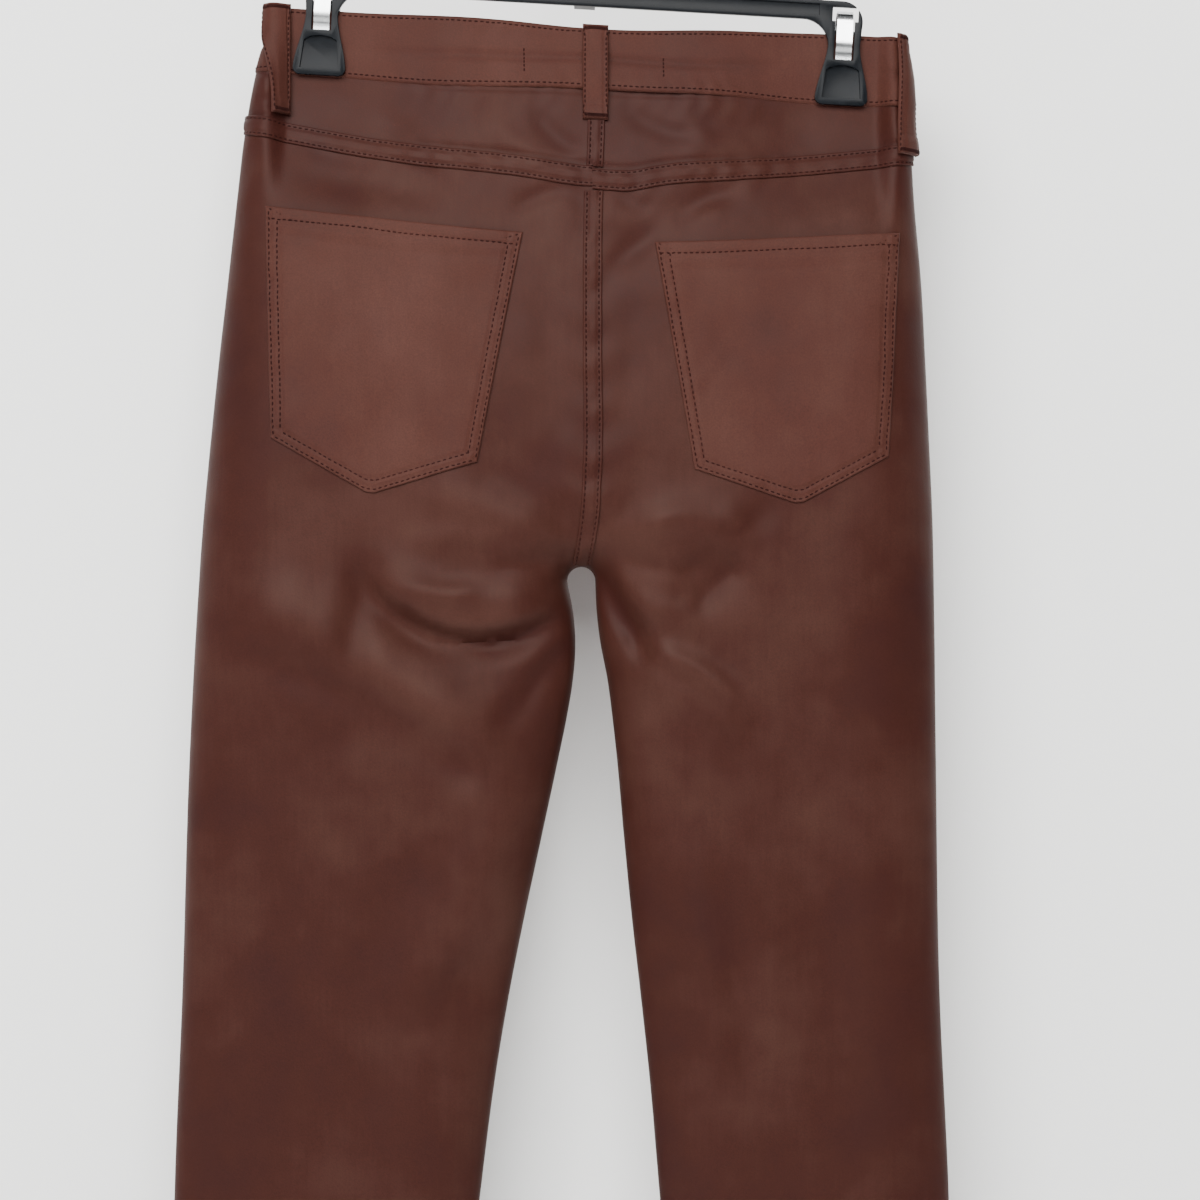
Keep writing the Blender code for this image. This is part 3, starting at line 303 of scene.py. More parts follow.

# %% [markdown]
# The large folds above are in the solids too. The finer creases are only here. Each one is a
# soft trough (positive) or ridge (negative) from one place to another, with its own sag, width
# and depth, placed one by one and all different, because even spacing would look machine made.

# %% Fine creases
BACK_CREASES = table("x0 down0 x1 down1 sag width depth", """
-112 323 -22 337 19 3.4 2.2
-128 307 -16 325 23 6.5 -3.2
-130 336 -14 352 22 14 2.4
36 298 60 344 -4 8 -2.2
2 300 30 352 3 4 1.8
-92 345 -44 344 6 5.5 0.8
-52 345 -14 332 2 5 1.4
-118 312 -60 318 7 7 -2.4
-100 330 -58 356 6 6 -1.6
-20 300 -60 306 -3 6 1.2
-8 296 -92 268 5 8 -1.6
-6 288 -70 250 4 7 1.1
-10 300 -106 292 7 8 -1.3
-8 346 -40 384 3 4.5 1.8
-2 352 -22 398 2 4 -1.2
-126 306 -134 356 3 7 0.5
-136 300 -146 372 4 10 -1
4 308 22 346 4 5 2.2
20 344 34 360 2 5 1.6
12 304 40 340 3 5 -2.2
24 350 82 382 -5 6.5 -3.2
34 364 92 398 -4 7 1.6
14 300 66 306 4 6 1.8
10 290 62 276 -3 7 -1.4
24 318 58 330 5 6 -1.5
70 292 104 268 3 8 1.2
88 302 56 334 2 6.5 1.6
84 92 44 118 5 6 1.5
46 116 8 140 3 6.5 1.5
78 104 30 128 6 7 -1.2
-10 92 -46 106 3 5 1.6
-8 90 -2 122 0 5.5 1.3
12 92 34 104 3 5 1.4
-166 64 -120 76 3 5 1.8
-120 74 -84 84 2 4.5 1.3
-190 60 -204 96 3 6 1.3
-34 46 -6 72 3 5.5 1.7
-56 52 -22 78 4 6 -1.1
18 46 60 62 4 6 1.5
56 50 98 58 3 6.5 1.2
106 50 132 66 2 5.5 1.3
-132 40 -104 60 2 5.5 1.4
-196 34 -176 46 1 3.2 1.3
-200 52 -182 58 1 3.6 1.1
166 52 180 100 3 5 1.2
-30 150 -14 230 3 8 0.9
24 150 14 232 -3 8 1
-30 236 -10 292 2 7 0.9
28 240 10 290 -2 7 0.9
-196 140 -200 250 4 9 0.9
182 150 186 262 -4 9 1
-200 300 -214 402 4 10 1.1
176 300 182 420 -4 11 1.1
-206 316 -56 406 -8 16 -3.4
-210 350 -50 434 -8 12 3
-160 400 -60 430 -6 11 1.3
-54 424 -96 470 4 11 -1.2
-72 440 -132 560 6 14 0.8
-60 560 -104 640 4 12 0.7
-86 600 -128 700 5 14 -0.9
-190 480 -176 620 -5 14 1.1
-150 700 -184 790 4 11 1.4
-112 720 -150 830 6 12 -1.1
-204 640 -188 760 3 10 1
64 470 96 588 4 12 0.6
88 460 104 600 -4 10 -1
140 470 150 640 4 12 1.1
60 600 84 742 5 13 0.6
110 620 104 760 -4 12 1.1
168 640 184 800 4 11 -1
-196 820 -120 846 4 7 1.8
-190 872 -128 860 -3 8 -1.2
-176 910 -120 940 4 9 1.4
-150 950 -206 976 3 8 1.2
84 820 150 846 4 7 1.7
170 880 108 900 -3 8 -1.2
96 930 168 950 4 8 1.4
""")
FRONT_CREASES = table("x0 down0 x1 down1 sag width depth", """
-20 292 -74 262 3 5 2
-22 306 -96 296 5 5.5 1.8
-26 322 -84 336 4 6 1.5
-16 276 -56 238 3 6 -1.2
12 290 70 262 -3 5 2
14 306 88 300 -5 5.5 1.7
18 324 80 340 -4 6 1.5
10 274 50 236 -3 6 -1.2
-60 250 -120 200 5 9 1
54 250 116 204 -5 9 1
-44 90 -60 160 3 8 0.9
44 92 58 160 -3 8 0.9
-110 130 -150 170 5 8 1
104 134 146 176 -5 8 1
-130 360 -70 400 6 12 -1.3
120 366 60 404 -6 12 -1.3
-100 420 -150 560 6 14 1.2
88 430 132 560 -6 14 1.2
-196 600 -130 628 5 8 1.7
-190 660 -120 676 4 9 -1.2
176 596 104 622 -5 8 1.6
170 656 100 672 -4 9 -1.2
-140 720 -180 860 5 12 1.2
110 724 150 856 -5 12 1.2
-190 880 -124 900 4 8 1.5
92 884 166 902 -4 8 1.5
-180 950 -130 966 3 8 1.2
104 948 160 968 3 8 1.2
""")
print("fine creases:", len(BACK_CREASES["x0"]), "behind,", len(FRONT_CREASES["x0"]), "in front")

# %% [markdown]
# No cloth is smooth between its creases. Value noise gives a surface that wanders: random
# heights sit on a lattice, and a smooth blend reads between them. The lattice is filled from
# a fixed formula, so that each run makes the same cloth.

# %% Wandering surface
def wander(u, v, seed):
    """Smooth values between -1 and 1 that change over about one unit of u and v."""
    cell_u, cell_v = np.floor(u), np.floor(v)
    share_u, share_v = ease(u - cell_u), ease(v - cell_v)

    def height(a, b):
        mixed = np.sin(a * 127.1 + b * 311.7 + seed * 74.7) * 43758.5453
        return 2 * (mixed - np.floor(mixed)) - 1

    near = height(cell_u, cell_v) * (1 - share_u) + height(cell_u + 1, cell_v) * share_u
    far = height(cell_u, cell_v + 1) * (1 - share_u) + height(cell_u + 1, cell_v + 1) * share_u
    return near * (1 - share_v) + far * share_v


def uneven(u, v, layers, shift=0):
    """Layers of wandering heights: each has its height, its run across and down, and its seed."""
    return sum(high * wander(u / across, v / down, seed + shift) for high, across, down, seed in layers)


def rounded(distance, width):
    """Rises from 0 at an edge to 1 at a width inside it, as a quarter of an ellipse."""
    inside = np.clip(distance / width, 0.0, 1.0)
    return np.sqrt(1 - (1 - inside) ** 2)


def front_dip(x):
    """How much lower the waistband hangs at the front, between the clips."""
    middle = (CLIP_PLACES[0] + CLIP_PLACES[1]) / 2
    reach = (CLIP_PLACES[1] - CLIP_PLACES[0]) / 2
    return FRONT_DIP * ease(1 - np.abs(x - middle) / reach)


def band_top(x, front):
    """The upper edge of the waistband."""
    return band_top_back(x) + front_dip(x) * front


def band_bottom(x, front):
    """The lower edge of the waistband."""
    return band_bottom_back(x) + front_dip(x) * front


def yoke_seam(x, left):
    """The seam between yoke and back, on one side."""
    return yoke_seam_left(x) if left else yoke_seam_right(x)


def side_line(down, left):
    """The outline of one side."""
    return side_left(down) if left else side_right(down)


def gap_distance(x, down):
    """Distance to the gap between the legs, which is round at its top."""
    above = np.hypot(x - ARCH_X, ARCH_DOWN - down) - ARCH_RADIUS
    beside = np.where(x < ARCH_X, inseam_left(down) - x, x - inseam_right(down))
    return np.where(down < ARCH_DOWN, above, beside)


def edges(x, down):
    """0 at the outline of the jeans and 1 well inside it."""
    left = rounded(x - side_left(down), side_round(down))
    right = rounded(side_right(down) - x, side_round(down))
    return left * right * rounded(gap_distance(x, down), gap_round(down))


def pinch(x, down):
    """1 where a clip holds the cloth flat, and 0 away from both clips."""
    amount = np.zeros(np.shape(x))
    for place in CLIP_PLACES:
        outward = (x - place) * np.sign(place)
        reach = np.where(outward > 0, CLIP_OUTER_EASE, CLIP_INNER_EASE)
        near = 1 - ease((np.abs(outward) - CLIP_FLAT) / reach)
        amount = np.maximum(amount, near)
    below = down - band_top_back(x) - CLIP_BELOW
    return amount * (1 - ease(below / CLIP_BELOW_EASE))


FOLD_FADE, FOLD_START = 0.35, 0.25


def fold_depth(folds, x, down):
    """The sum of the folds at a place, as a movement towards the middle plane."""
    total = np.zeros(np.shape(x))
    for x0, down0, x1, down1, sag, width, depth in zip(*folds.values()):
        length = math.hypot(x1 - x0, down1 - down0)
        across, along = (x1 - x0) / length, (down1 - down0) / length
        t = ((x - x0) * across + (down - down0) * along) / length
        off = (down - down0) * across - (x - x0) * along
        off = off - sag * 4 * t * (1 - t)
        fade = ease(t / FOLD_FADE + FOLD_START) * ease((1 - t) / FOLD_FADE + FOLD_START)
        total += depth * fade * np.exp(-((off / width) ** 2))
    return total


# %% [markdown]
# A sewn seam is shorter than the cloth beside it, so the cloth puckers: short diagonal ridges
# run off the seam and die out in a finger's width. Their spacing wanders: round 26 mm on the
# centre back seam, and round 13 mm under the waistband.

# %% Seam puckers
PUCKERS = {  # spacing, reach and height in millimetres, and the seed of their unevenness
    "under band": (13.0, 9.0, 0.45, 11),
    "front centre": (22.0, 9.0, 0.55, 17),
    "front side": (31.0, 20.0, 0.8, 19),
    "back centre": (26.5, 13.0, 0.75, 23),
    "yoke": (15.0, 11.0, 0.55, 29),
    "back side": (29.0, 20.0, 0.8, 31),
    "band bottom": (11.0, 7.0, 0.35, 43),
    "band top": (14.0, 6.0, 0.2, 47),
    "pocket side": (17.0, 9.0, 0.28, 83),
    "pocket bottom": (15.0, 9.0, 0.3, 89),
}
PUCKER_LEAN = 0.55
SEAM_DIP = 1.0
# Each pair is the distance below a seam and the width of what lies there.
BAND_DIP, YOKE_DIP = (0.8, 1.7), (-2.2, 1.9)
BELOW_BAND, BELOW_YOKE, BELOW_FLY = (-6, 6), (86, 12), (190, 30)
BAND_PUCKERS, YOKE_PUCKERS, FAR_AWAY = 4, 6, 90.0
BODY_LAYERS = ((0.9, 46, 64, 3), (0.4, 19, 30, 5), (0.12, 7, 9, 8))


def puckers(off, along, which):
    """Diagonal ridges that leave a seam; off is the distance from it and along runs down it."""
    spacing, reach, height, seed = PUCKERS[which]
    shift = 0.22 * spacing * wander(along / spacing * 0.6, off * 0 + 0.5, seed)
    lean = along + np.abs(off) * PUCKER_LEAN + shift
    strength = 0.55 + 0.45 * wander(along / spacing * 0.5, off * 0 + 3.1, seed + 1)
    fade = np.exp(-(np.abs(off) / reach) ** 1.6)
    return height * strength * np.sin(lean / spacing * math.tau) * fade


def dip(off, place, width):
    """The shallow groove beside a seam."""
    return SEAM_DIP * np.exp(-(((off - place) / width) ** 2))


def begins(down, start, width):
    """Runs from 0 to 1 over a width, below its start."""
    return ease((down - start) / width)


def fine_relief(x, down, front):
    """Small movements out of the cloth: creases, puckers along the seams and unevenness."""
    out = -fold_depth(FRONT_CREASES if front else BACK_CREASES, x, down)
    out = out + uneven(x, down, BODY_LAYERS, int(front))
    band = down - band_bottom(x, front)
    out = out + puckers(band - BAND_PUCKERS, x, "under band") * begins(band, *BELOW_BAND)
    out = out - dip(band, *BAND_DIP)
    centre = np.where(down < ARCH_DOWN, x - centre_line(down), FAR_AWAY)
    if front:
        out = out + puckers(centre, down, "front centre") * begins(down, *BELOW_FLY)
    else:
        out = out + puckers(centre, down, "back centre") * begins(down, *BELOW_YOKE)
        yoke = down - np.where(x < 0, yoke_seam_left(x), yoke_seam_right(x))
        out = out + puckers(yoke - YOKE_PUCKERS, x, "yoke")
        out = out - dip(yoke, *YOKE_DIP)
    for side in (side_left(down), side_right(down)):
        out = out + puckers(x - side, down, "front side" if front else "back side")
    return out


SLOPE_STEP = 0.6


def depth_at(x, down, front, fine=True):
    """Depth of the cloth's outer face from the middle plane."""
    hollow = depth_front(down) if front else depth_back(down)
    out = hollow - fold_depth(FRONT_FOLDS if front else BACK_FOLDS, x, down)
    if fine:
        out = out + fine_relief(x, down, front)
    held = pinch(x, down)
    return edges(x, down) * out * (1 - held) + CLIPPED_DEPTH * held


def place(x, y, down):
    """Points in metres from table places."""
    return np.stack([x + CENTRE_X, y, -(WAIST_DROP + down)], axis=-1) * MM


def placed(grid):
    """The same from a grid of x, y and down."""
    return place(*np.moveaxis(grid, -1, 0))


def raised(base, normals, height):
    """A grid moved out of itself by a height in millimetres."""
    return base + normals * height * MM


def outer_points(x, down, front):
    """Points of the cloth's outer face, in metres."""
    y = depth_at(x, down, front)
    return place(x, y if front else -y, down)


def field_normals(x, down, front):
    """Unit normals of the cloth's outer face, pointing out of the garment."""
    step = SLOPE_STEP
    slope_x = depth_at(x + step, down, front) - depth_at(x - step, down, front)
    slope_down = depth_at(x, down + step, front) - depth_at(x, down - step, front)
    side = np.full(np.shape(x), 2 * step if front else -2 * step)
    normal = np.stack([-slope_x, side, slope_down], axis=-1)
    return normal / np.linalg.norm(normal, axis=-1, keepdims=True)


ridge_sample = fine_relief(np.linspace(-180, 180, 7), np.full(7, 200.0), False)
print("fine relief across the seat in mm:", np.round(ridge_sample, 2))


# %% [markdown]
# A cloth piece is a closed wall: an outer and an inner grid of points, joined round the rim.
# Material 0 is the coated face and material 1 the plain back of the cloth. Each point also
# keeps a "ridge" value, so that the colour can be paler on ridges, as wear and painted sheen,
# and darker in troughs, as painted shade.

# %% Wall builder
made = {}
COATED = "coated_cloth"
SMOOTH_TO = math.radians(50)


def new_mesh(name, points, faces):
    """A mesh of these points and faces."""
    mesh = bpy.data.meshes.new(name)
    mesh.from_pydata(points, [], faces)
    return mesh


def carried(piece, node, slot):
    """Sets a piece to ride on the part and hides the node that it stands for. The slot is not used."""
    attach(piece, "root")
    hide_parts(node)
    print(f"{piece.name}: {len(piece.data.polygons)} faces")
    return piece


def surface_area(grid):
    """Area of a grid of points, in square metres."""
    a, b = grid[1:, 1:] - grid[:-1, :-1], grid[1:, :-1] - grid[:-1, 1:]
    return float(np.linalg.norm(np.cross(a, b), axis=-1).sum() / 2)


def longest(grid, axis):
    """Length of a grid's longest line along one of its two directions."""
    return float(np.linalg.norm(np.diff(grid, axis=axis), axis=-1).sum(axis=axis).max())


def grid_normals(grid, wrap=False):
    """Unit normals of a grid of points."""
    down = np.gradient(grid, axis=0)
    if wrap:
        across = np.roll(grid, -1, axis=1) - np.roll(grid, 1, axis=1)
    else:
        across = np.gradient(grid, axis=1)
    normal = np.cross(down, across)
    return normal / np.maximum(np.linalg.norm(normal, axis=-1, keepdims=True), 1e-12)


def wall(name, outer, inner, ridge=None, wrap=False, slot=COATED):
    """A closed wall between two grids of points. One of cloth is also kept in the table of made pieces."""
    rows, columns = outer.shape[:2]
    count = rows * columns
    index = np.arange(count).reshape(rows, columns)
    if wrap:
        index = np.concatenate([index, index[:, :1]], axis=1)
    a, b, c, d = index[:-1, :-1], index[:-1, 1:], index[1:, 1:], index[1:, :-1]
    face = np.stack([a, b, c, d], axis=-1).reshape(-1, 4)
    lines = [index[0][::-1], index[-1]]
    if not wrap:
        lines += [index[:, 0], index[:, -1][::-1]]
    rims = [np.stack([k[:-1], k[1:], k[1:] + count, k[:-1] + count], -1)[:, ::-1] for k in lines]
    faces = np.concatenate([face, *rims, face[:, ::-1] + count])
    points = np.concatenate([outer.reshape(-1, 3), inner.reshape(-1, 3)])
    corners = points[faces]
    first = np.cross(corners[:, 1] - corners[:, 0], corners[:, 2] - corners[:, 0])
    second = np.cross(corners[:, 2] - corners[:, 0], corners[:, 3] - corners[:, 0])
    if (corners[:, 0] * (first + second)).sum() < 0:
        faces = faces[:, ::-1]
    mesh = new_mesh(name, points.tolist(), faces.tolist())
    mesh.shade_smooth()
    mesh.set_sharp_from_angle(angle=SMOOTH_TO)
    back_faces = np.zeros(len(faces), np.int32)
    back_faces[-len(face):] = 1
    mesh.polygons.foreach_set("material_index", back_faces)
    value = np.broadcast_to(0.0 if ridge is None else ridge, outer.shape[:2])
    values = np.concatenate([value.reshape(-1), np.zeros(count)]).astype(np.float32)
    mesh.attributes.new("ridge", "FLOAT", "POINT").data.foreach_set("value", values)
    piece = carried(linked(name + "_cloth", mesh), name, slot)
    if slot != COATED:
        return piece
    normals = grid_normals(outer, wrap)
    if (normals * (outer - inner)).sum() < 0:
        normals = -normals
    kept = {"piece": piece, "outer": outer, "normals": normals}
    if wrap:
        outer = np.concatenate([outer, outer[:, :1]], axis=1)
    width, length = longest(outer, 1), longest(outer, 0)
    made[name] = {**kept, "flat": (width, length), "area": surface_area(outer)}
    print(f"{name}: {rows} x {columns} points, cut {width * 100:.1f} x {length * 100:.1f} cm")
    return piece


print("walls of cloth are smooth up to", round(math.degrees(SMOOTH_TO)), "degrees")

# %% [markdown]
# The leg panels are cut from patches. Rows run from the side seam to an inner edge that goes
# down the centre seam, round the crotch and down the inseam. The columns crowd where the cloth
# turns round a side, as a draughtsman's curve needs more points where it bends.

# %% Rows and columns of the panels
SIDE_COLUMNS = 16
CROSS_COLUMNS = 42
INNER_COLUMNS = 18
CROTCH_ROWS = 22
ARCH_ROWS = 10
LEG_ROWS = 215
SEAT_ROWS = 62
OUTER_AT_ARCH = 298.0
MOST_ROUND = 0.45
TOP_REACH = 120.0
RIDGE_SCALE = 2.5


def column_shares(width, down, inner_down, outer_edge, inner_edge, fine=1.0):
    """Share of the way across for each column, denser round an edge that is 1 than at a 0."""
    outer = min(float(side_round(down)), MOST_ROUND * width)
    inner = min(float(gap_round(inner_down)), MOST_ROUND * width)
    sides, cross, inners = (int(n * fine) for n in (SIDE_COLUMNS, CROSS_COLUMNS, INNER_COLUMNS))
    turn, even = np.linspace(0, math.pi / 2, sides + 1), np.linspace(0, 1, sides + 1)
    first = outer * (outer_edge * (1 - np.cos(turn)) + (1 - outer_edge) * even)
    turn, even = np.linspace(math.pi / 2, 0, inners + 1), np.linspace(1, 0, inners + 1)
    final = width - inner * (inner_edge * (1 - np.cos(turn)) + (1 - inner_edge) * even)
    middle = np.linspace(outer, width - inner, cross + 1)[1:-1]
    return np.concatenate([first, middle, final]) / width


def side_start(line, left):
    """Height at which a line across the torso meets the side."""
    start = 50.0
    for _ in range(4):
        start = float(line(side_line(start, left)))
    return start


def half_patch(left, lines, fine=1.0):
    """Rows across one half of the torso, each following the line that it is given."""
    rows = []
    for line in lines:
        start = side_start(line, left)
        outer = side_line(start, left)
        middle = centre_line(line(0.0))
        shares = column_shares(abs(outer - middle), start, line(0.0), 1.0, 0.0, fine)
        x = outer + (middle - outer) * shares
        rows.append(np.stack([x, line(x)], axis=-1))
    return np.array(rows)


def seat_heights(top, rows):
    """Even heights down the centre seam, to where it starts to turn under at the crotch."""
    crotch = ARCH_DOWN - ARCH_RADIUS
    return np.linspace(top, crotch - float(gap_round(crotch)), rows + 1)[:-1]


def inner_line(left, seat, leg_rows, crotch_rows=CROTCH_ROWS, arch_rows=ARCH_ROWS):
    """Places down the centre seam, round the arch and down the inseam, with their edge share."""
    crotch = ARCH_DOWN - ARCH_RADIUS
    turns = np.linspace(math.pi / 2, 0, crotch_rows)
    downs = np.concatenate([seat, crotch - float(gap_round(crotch)) * (1 - np.cos(turns))])
    places = [(float(centre_line(d)), d, 0.0) for d in downs]
    side = -1 if left else 1
    for step in range(1, arch_rows + 1):
        turn = step / arch_rows * math.pi / 2
        x = ARCH_X + side * ARCH_RADIUS * math.sin(turn)
        places.append((x, ARCH_DOWN - ARCH_RADIUS * math.cos(turn), step / arch_rows))
    line = inseam_left if left else inseam_right
    for down in np.linspace(ARCH_DOWN, HEM_DOWN - HEM_HEIGHT, leg_rows + 1)[1:]:
        places.append((float(line(down)), down, 1.0))
    return places


def level_out(inner, starts, level_rows):
    """Heights of the outer ends of the rows: even down to the arch, then level with the inner."""
    rise_rows = sum(spot[2] == 0.0 for spot in inner)
    turned = sum(0.0 < spot[2] < 1.0 for spot in inner) + 1
    even = np.linspace(starts[-1], OUTER_AT_ARCH, rise_rows - len(starts) + 1)
    downs = [*starts, *even[1:]]
    first_leg = rise_rows + turned
    leg = [spot[1] for spot in inner]
    step = (leg[first_leg + level_rows] - OUTER_AT_ARCH) / (turned + level_rows + 1)
    downs += [OUTER_AT_ARCH + step * count for count in range(1, turned + level_rows + 1)]
    return downs + leg[first_leg + level_rows:]


def panel_rows(top_line, outer_places, inner_places, fine=1.0):
    """Rows of a leg panel between its outer and inner places, with the top row on a line."""
    rows = []
    for (x0, down0, edge0), (x1, down1, edge1) in zip(outer_places, inner_places):
        shares = column_shares(abs(x1 - x0), down0, down1, edge0, edge1, fine)
        x = x0 + (x1 - x0) * shares
        follow = 1 - ease((down1 - inner_places[0][1]) / TOP_REACH)
        straight = down0 + (down1 - down0) * shares
        ends = top_line(x0) + (top_line(x1) - top_line(x0)) * shares
        rows.append(np.stack([x, straight + follow * (top_line(x) - ends)], axis=-1))
    return np.array(rows)


def seam_locks(inner, outer_rows):
    """Where a panel's normals stay in a seam's plane: its side, its rise and its inseam."""
    rise = np.array([spot[2] == 0.0 for spot in inner])
    turned = ~rise
    turned[np.count_nonzero(rise) - 1] = True
    return ((outer_rows, 0), 1), ((rise, -1), 0), ((turned, -1), 1)


def lay(name, rows, front, thick=CLOTH, lift=0.0, fixed=()):
    """A wall of cloth on the body form, between a lift and a lift plus its thickness."""
    x, down = rows[..., 0], rows[..., 1]
    base = outer_points(x, down, front)
    normals = field_normals(x, down, front)
    for where, axis in fixed:
        normals[where + (axis,)] = 0.0
        edge = normals[where]
        normals[where] = edge / np.linalg.norm(edge, axis=-1, keepdims=True)
    lift, thick = (np.broadcast_to(np.asarray(v, float), x.shape)[..., None] for v in (lift, thick))
    # The ridge value paints shade into creases and folds, and a paler tone of wear and sheen on ridges.
    folds = fold_depth(FRONT_FOLDS if front else BACK_FOLDS, x, down)
    ridge = np.clip(fine_relief(x, down, front) / RIDGE_SCALE, -1, 1)
    ridge = ridge - np.clip(folds / 8, -1, 1) * 0.5
    return wall(name, raised(base, normals, lift + thick), raised(base, normals, lift), ridge)


print("panels have", SIDE_COLUMNS + CROSS_COLUMNS + INNER_COLUMNS + 1, "columns")


# %% [markdown]
# The backs hang from the yoke seam to the hem band. Their wall goes inward from the outline,
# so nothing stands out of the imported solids' sides.

# %% Backs
def side_name(left):
    return "left" if left else "right"


for left in (True, False):
    def back_top(x, left=left):
        return yoke_seam(x, left)

    inner = inner_line(left, seat_heights(float(back_top(0.0)), SEAT_ROWS), LEG_ROWS)
    downs = level_out(inner, [side_start(back_top, left)], 60)
    outer = [(float(side_line(d, left)), float(d), 1.0) for d in downs]
    rows = panel_rows(back_top, outer, inner)
    locks = seam_locks(inner, np.full(len(rows), True))
    lay("back_" + side_name(left), rows, False, CLOTH, -CLOTH, locks)


# %% [markdown]
# The fronts are the same patch with a scoop cut from the outer top corner, which is the mouth
# of the front pocket. A facing shows inside the scoop, sunk below the front by its thickness.

# %% Fronts and facings
SCOOP_WIDE = 102.0
SCOOP_DEEP = 72.0
SCOOP_LEVEL = 140.0
SCOOP_SHARPNESS = 8
SCOOP_TURNS = np.radians(np.concatenate([np.linspace(0, 60, 15), np.linspace(63, 90, 12)]))
FRONT_FINE = 0.8
FACING_WIDE = 124.0
FACING_DEEP = 84.0
FACING_LAST = 0.94
FACING_SINK = 2.5
FACING_CLOTH = 1.0


def front_top(x):
    """The top row of the fronts, just under the waistband."""
    return band_bottom(x, True) - 1.0


for left in (True, False):
    seat = np.linspace(front_top(0.0), SCOOP_LEVEL, len(SCOOP_TURNS))[:-1]
    seat = np.concatenate([seat, seat_heights(SCOOP_LEVEL, 34)])
    inner = inner_line(left, seat, 150, 14, 8)
    corner = side_start(front_top, left)
    side = float(side_line(corner, left))
    inward = 1 if left else -1
    outer = []
    for turn in SCOOP_TURNS:
        x = side + inward * SCOOP_WIDE * math.cos(turn)
        top = float(front_top(x)) * (1 - ease(turn * 4)) + corner * ease(turn * 4)
        outer.append((x, top + SCOOP_DEEP * math.sin(turn), math.sin(turn) ** SCOOP_SHARPNESS))
    downs = level_out(inner, [spot[1] for spot in outer], 40)[len(outer) - 1:]
    outer = outer[:-1] + [(float(side_line(d, left)), float(d), 1.0) for d in downs]
    rows = panel_rows(front_top, outer, inner, FRONT_FINE)
    seam = np.array([spot[2] for spot in outer]) == 1.0
    lay("front_" + side_name(left), rows, True, CLOTH, -CLOTH, seam_locks(inner, seam))
    rows = []
    for share in np.linspace(0, FACING_LAST, 34):
        down = corner + FACING_DEEP * share
        side = float(side_line(down, left))
        width = FACING_WIDE * math.sqrt(1 - share ** 2)
        x = side + inward * width * column_shares(width, down, down, 1.0, 0.0, 0.7)
        drop = (front_top(x) - corner) * (1 - share)
        rows.append(np.stack([x, down + drop], axis=-1))
    rows = np.array(rows)
    sink = FACING_SINK * ease(np.linspace(0, 1.6, len(rows)))[:, None]
    low = -(CLOTH + REST_GAP) - sink - FACING_CLOTH
    locks = (((np.full(len(rows), True), 0), 1),)
    lay("facing_" + side_name(left), rows, True, FACING_CLOTH, low, locks)

# %% [markdown]
# The yokes lie between the waistband and the backs. Their lower edge goes under the folded
# seam strip, and their upper edge goes just under the waistband.

# %% Yokes
for left in (True, False):
    def low(x, left=left):
        return yoke_seam(x, left)

    def line_at(share):
        return lambda x: (band_bottom(x, False) - 1.0) * (1 - share) + low(x) * share

    rows = half_patch(left, [line_at(share) for share in np.linspace(0, 1, 22)])
    every = np.full(len(rows), True)
    locks = (((every, 0), 1), ((every, -1), 0))
    lay("yoke_" + side_name(left), rows, False, CLOTH, -CLOTH, locks)

# %% [markdown]
# The waistband is one folded strip, 34 to 40 mm high, with its fold at the top. Its left end
# lies over its right end at centre front. Its two faces meet in a round fold, so each face
# curves to the middle of the wall over the last 1.6 mm of its height.

# %% Waistband
OVER_END = 8.0
UNDER_END = -30.0
UNDER_START = 30.0
UNDER_REACH = 16.0
BAND_ROUND = 1.6
BAND_SHARES = np.array([0, 0.006, 0.018, 0.04, *np.linspace(0.07, 0.93, 22), 0.97, 0.99, 1])
BAND_FINE = 1.4
BAND_CREASE = (0.52, 0.06, 0.07)
BAND_LAYERS = ((0.35, 30, 0.625, 53), (0.1, 8, 0.2, 59))
BAND_EDGE, BAND_HELD = 4.0, 0.85
BAND_RIDGE = 1.2


def band_relief(x, share, height):
    """The soft crease along the middle of the waistband, its puckers and its unevenness."""
    place, swerve, width = BAND_CREASE
    crease = -np.exp(-(((share - place - swerve * wander(x / 60, x * 0, 41)) / width) ** 2))
    low = puckers((share - 1) * height + 3, x, "band bottom")
    top = puckers(share * height - 3, x, "band top")
    return crease + low + top + uneven(x, share, BAND_LAYERS)


def band_grid(shares):
    """Points round the waistband's middle surface for each share of its height."""
    strips = []
    for share in shares:
        halves = {}
        for left in (True, False):
            for front in (True, False):
                def line(x, front=front, share=share):
                    return band_top(x, front) * (1 - share) + band_bottom(x, front) * share

                row = half_patch(left, [line], BAND_FINE)[0]
                y = depth_at(row[:, 0], row[:, 1], front, False)
                if front and not left:
                    under = ease((UNDER_START - row[:, 0]) / UNDER_REACH)
                    y = y - (BAND_CLOTH + REST_GAP) * under
                halves[left, front] = np.column_stack([row[:, 0], y if front else -y, row[:, 1]])
        over, under = halves[True, True][::-1], halves[False, True]
        reach = np.linspace(OVER_END, 0, 6)[:-1]
        first = [over[0] + (step, 0, 0) for step in reach]
        last = [under[-1] + (end, 0, 0) for end in np.linspace(0, UNDER_END, 14)]
        back = [*halves[True, False], *halves[False, False][::-1][1:]]
        strips.append([*first, *over[:-1], *back, *under[1:-1], *last])
    return placed(np.array(strips))


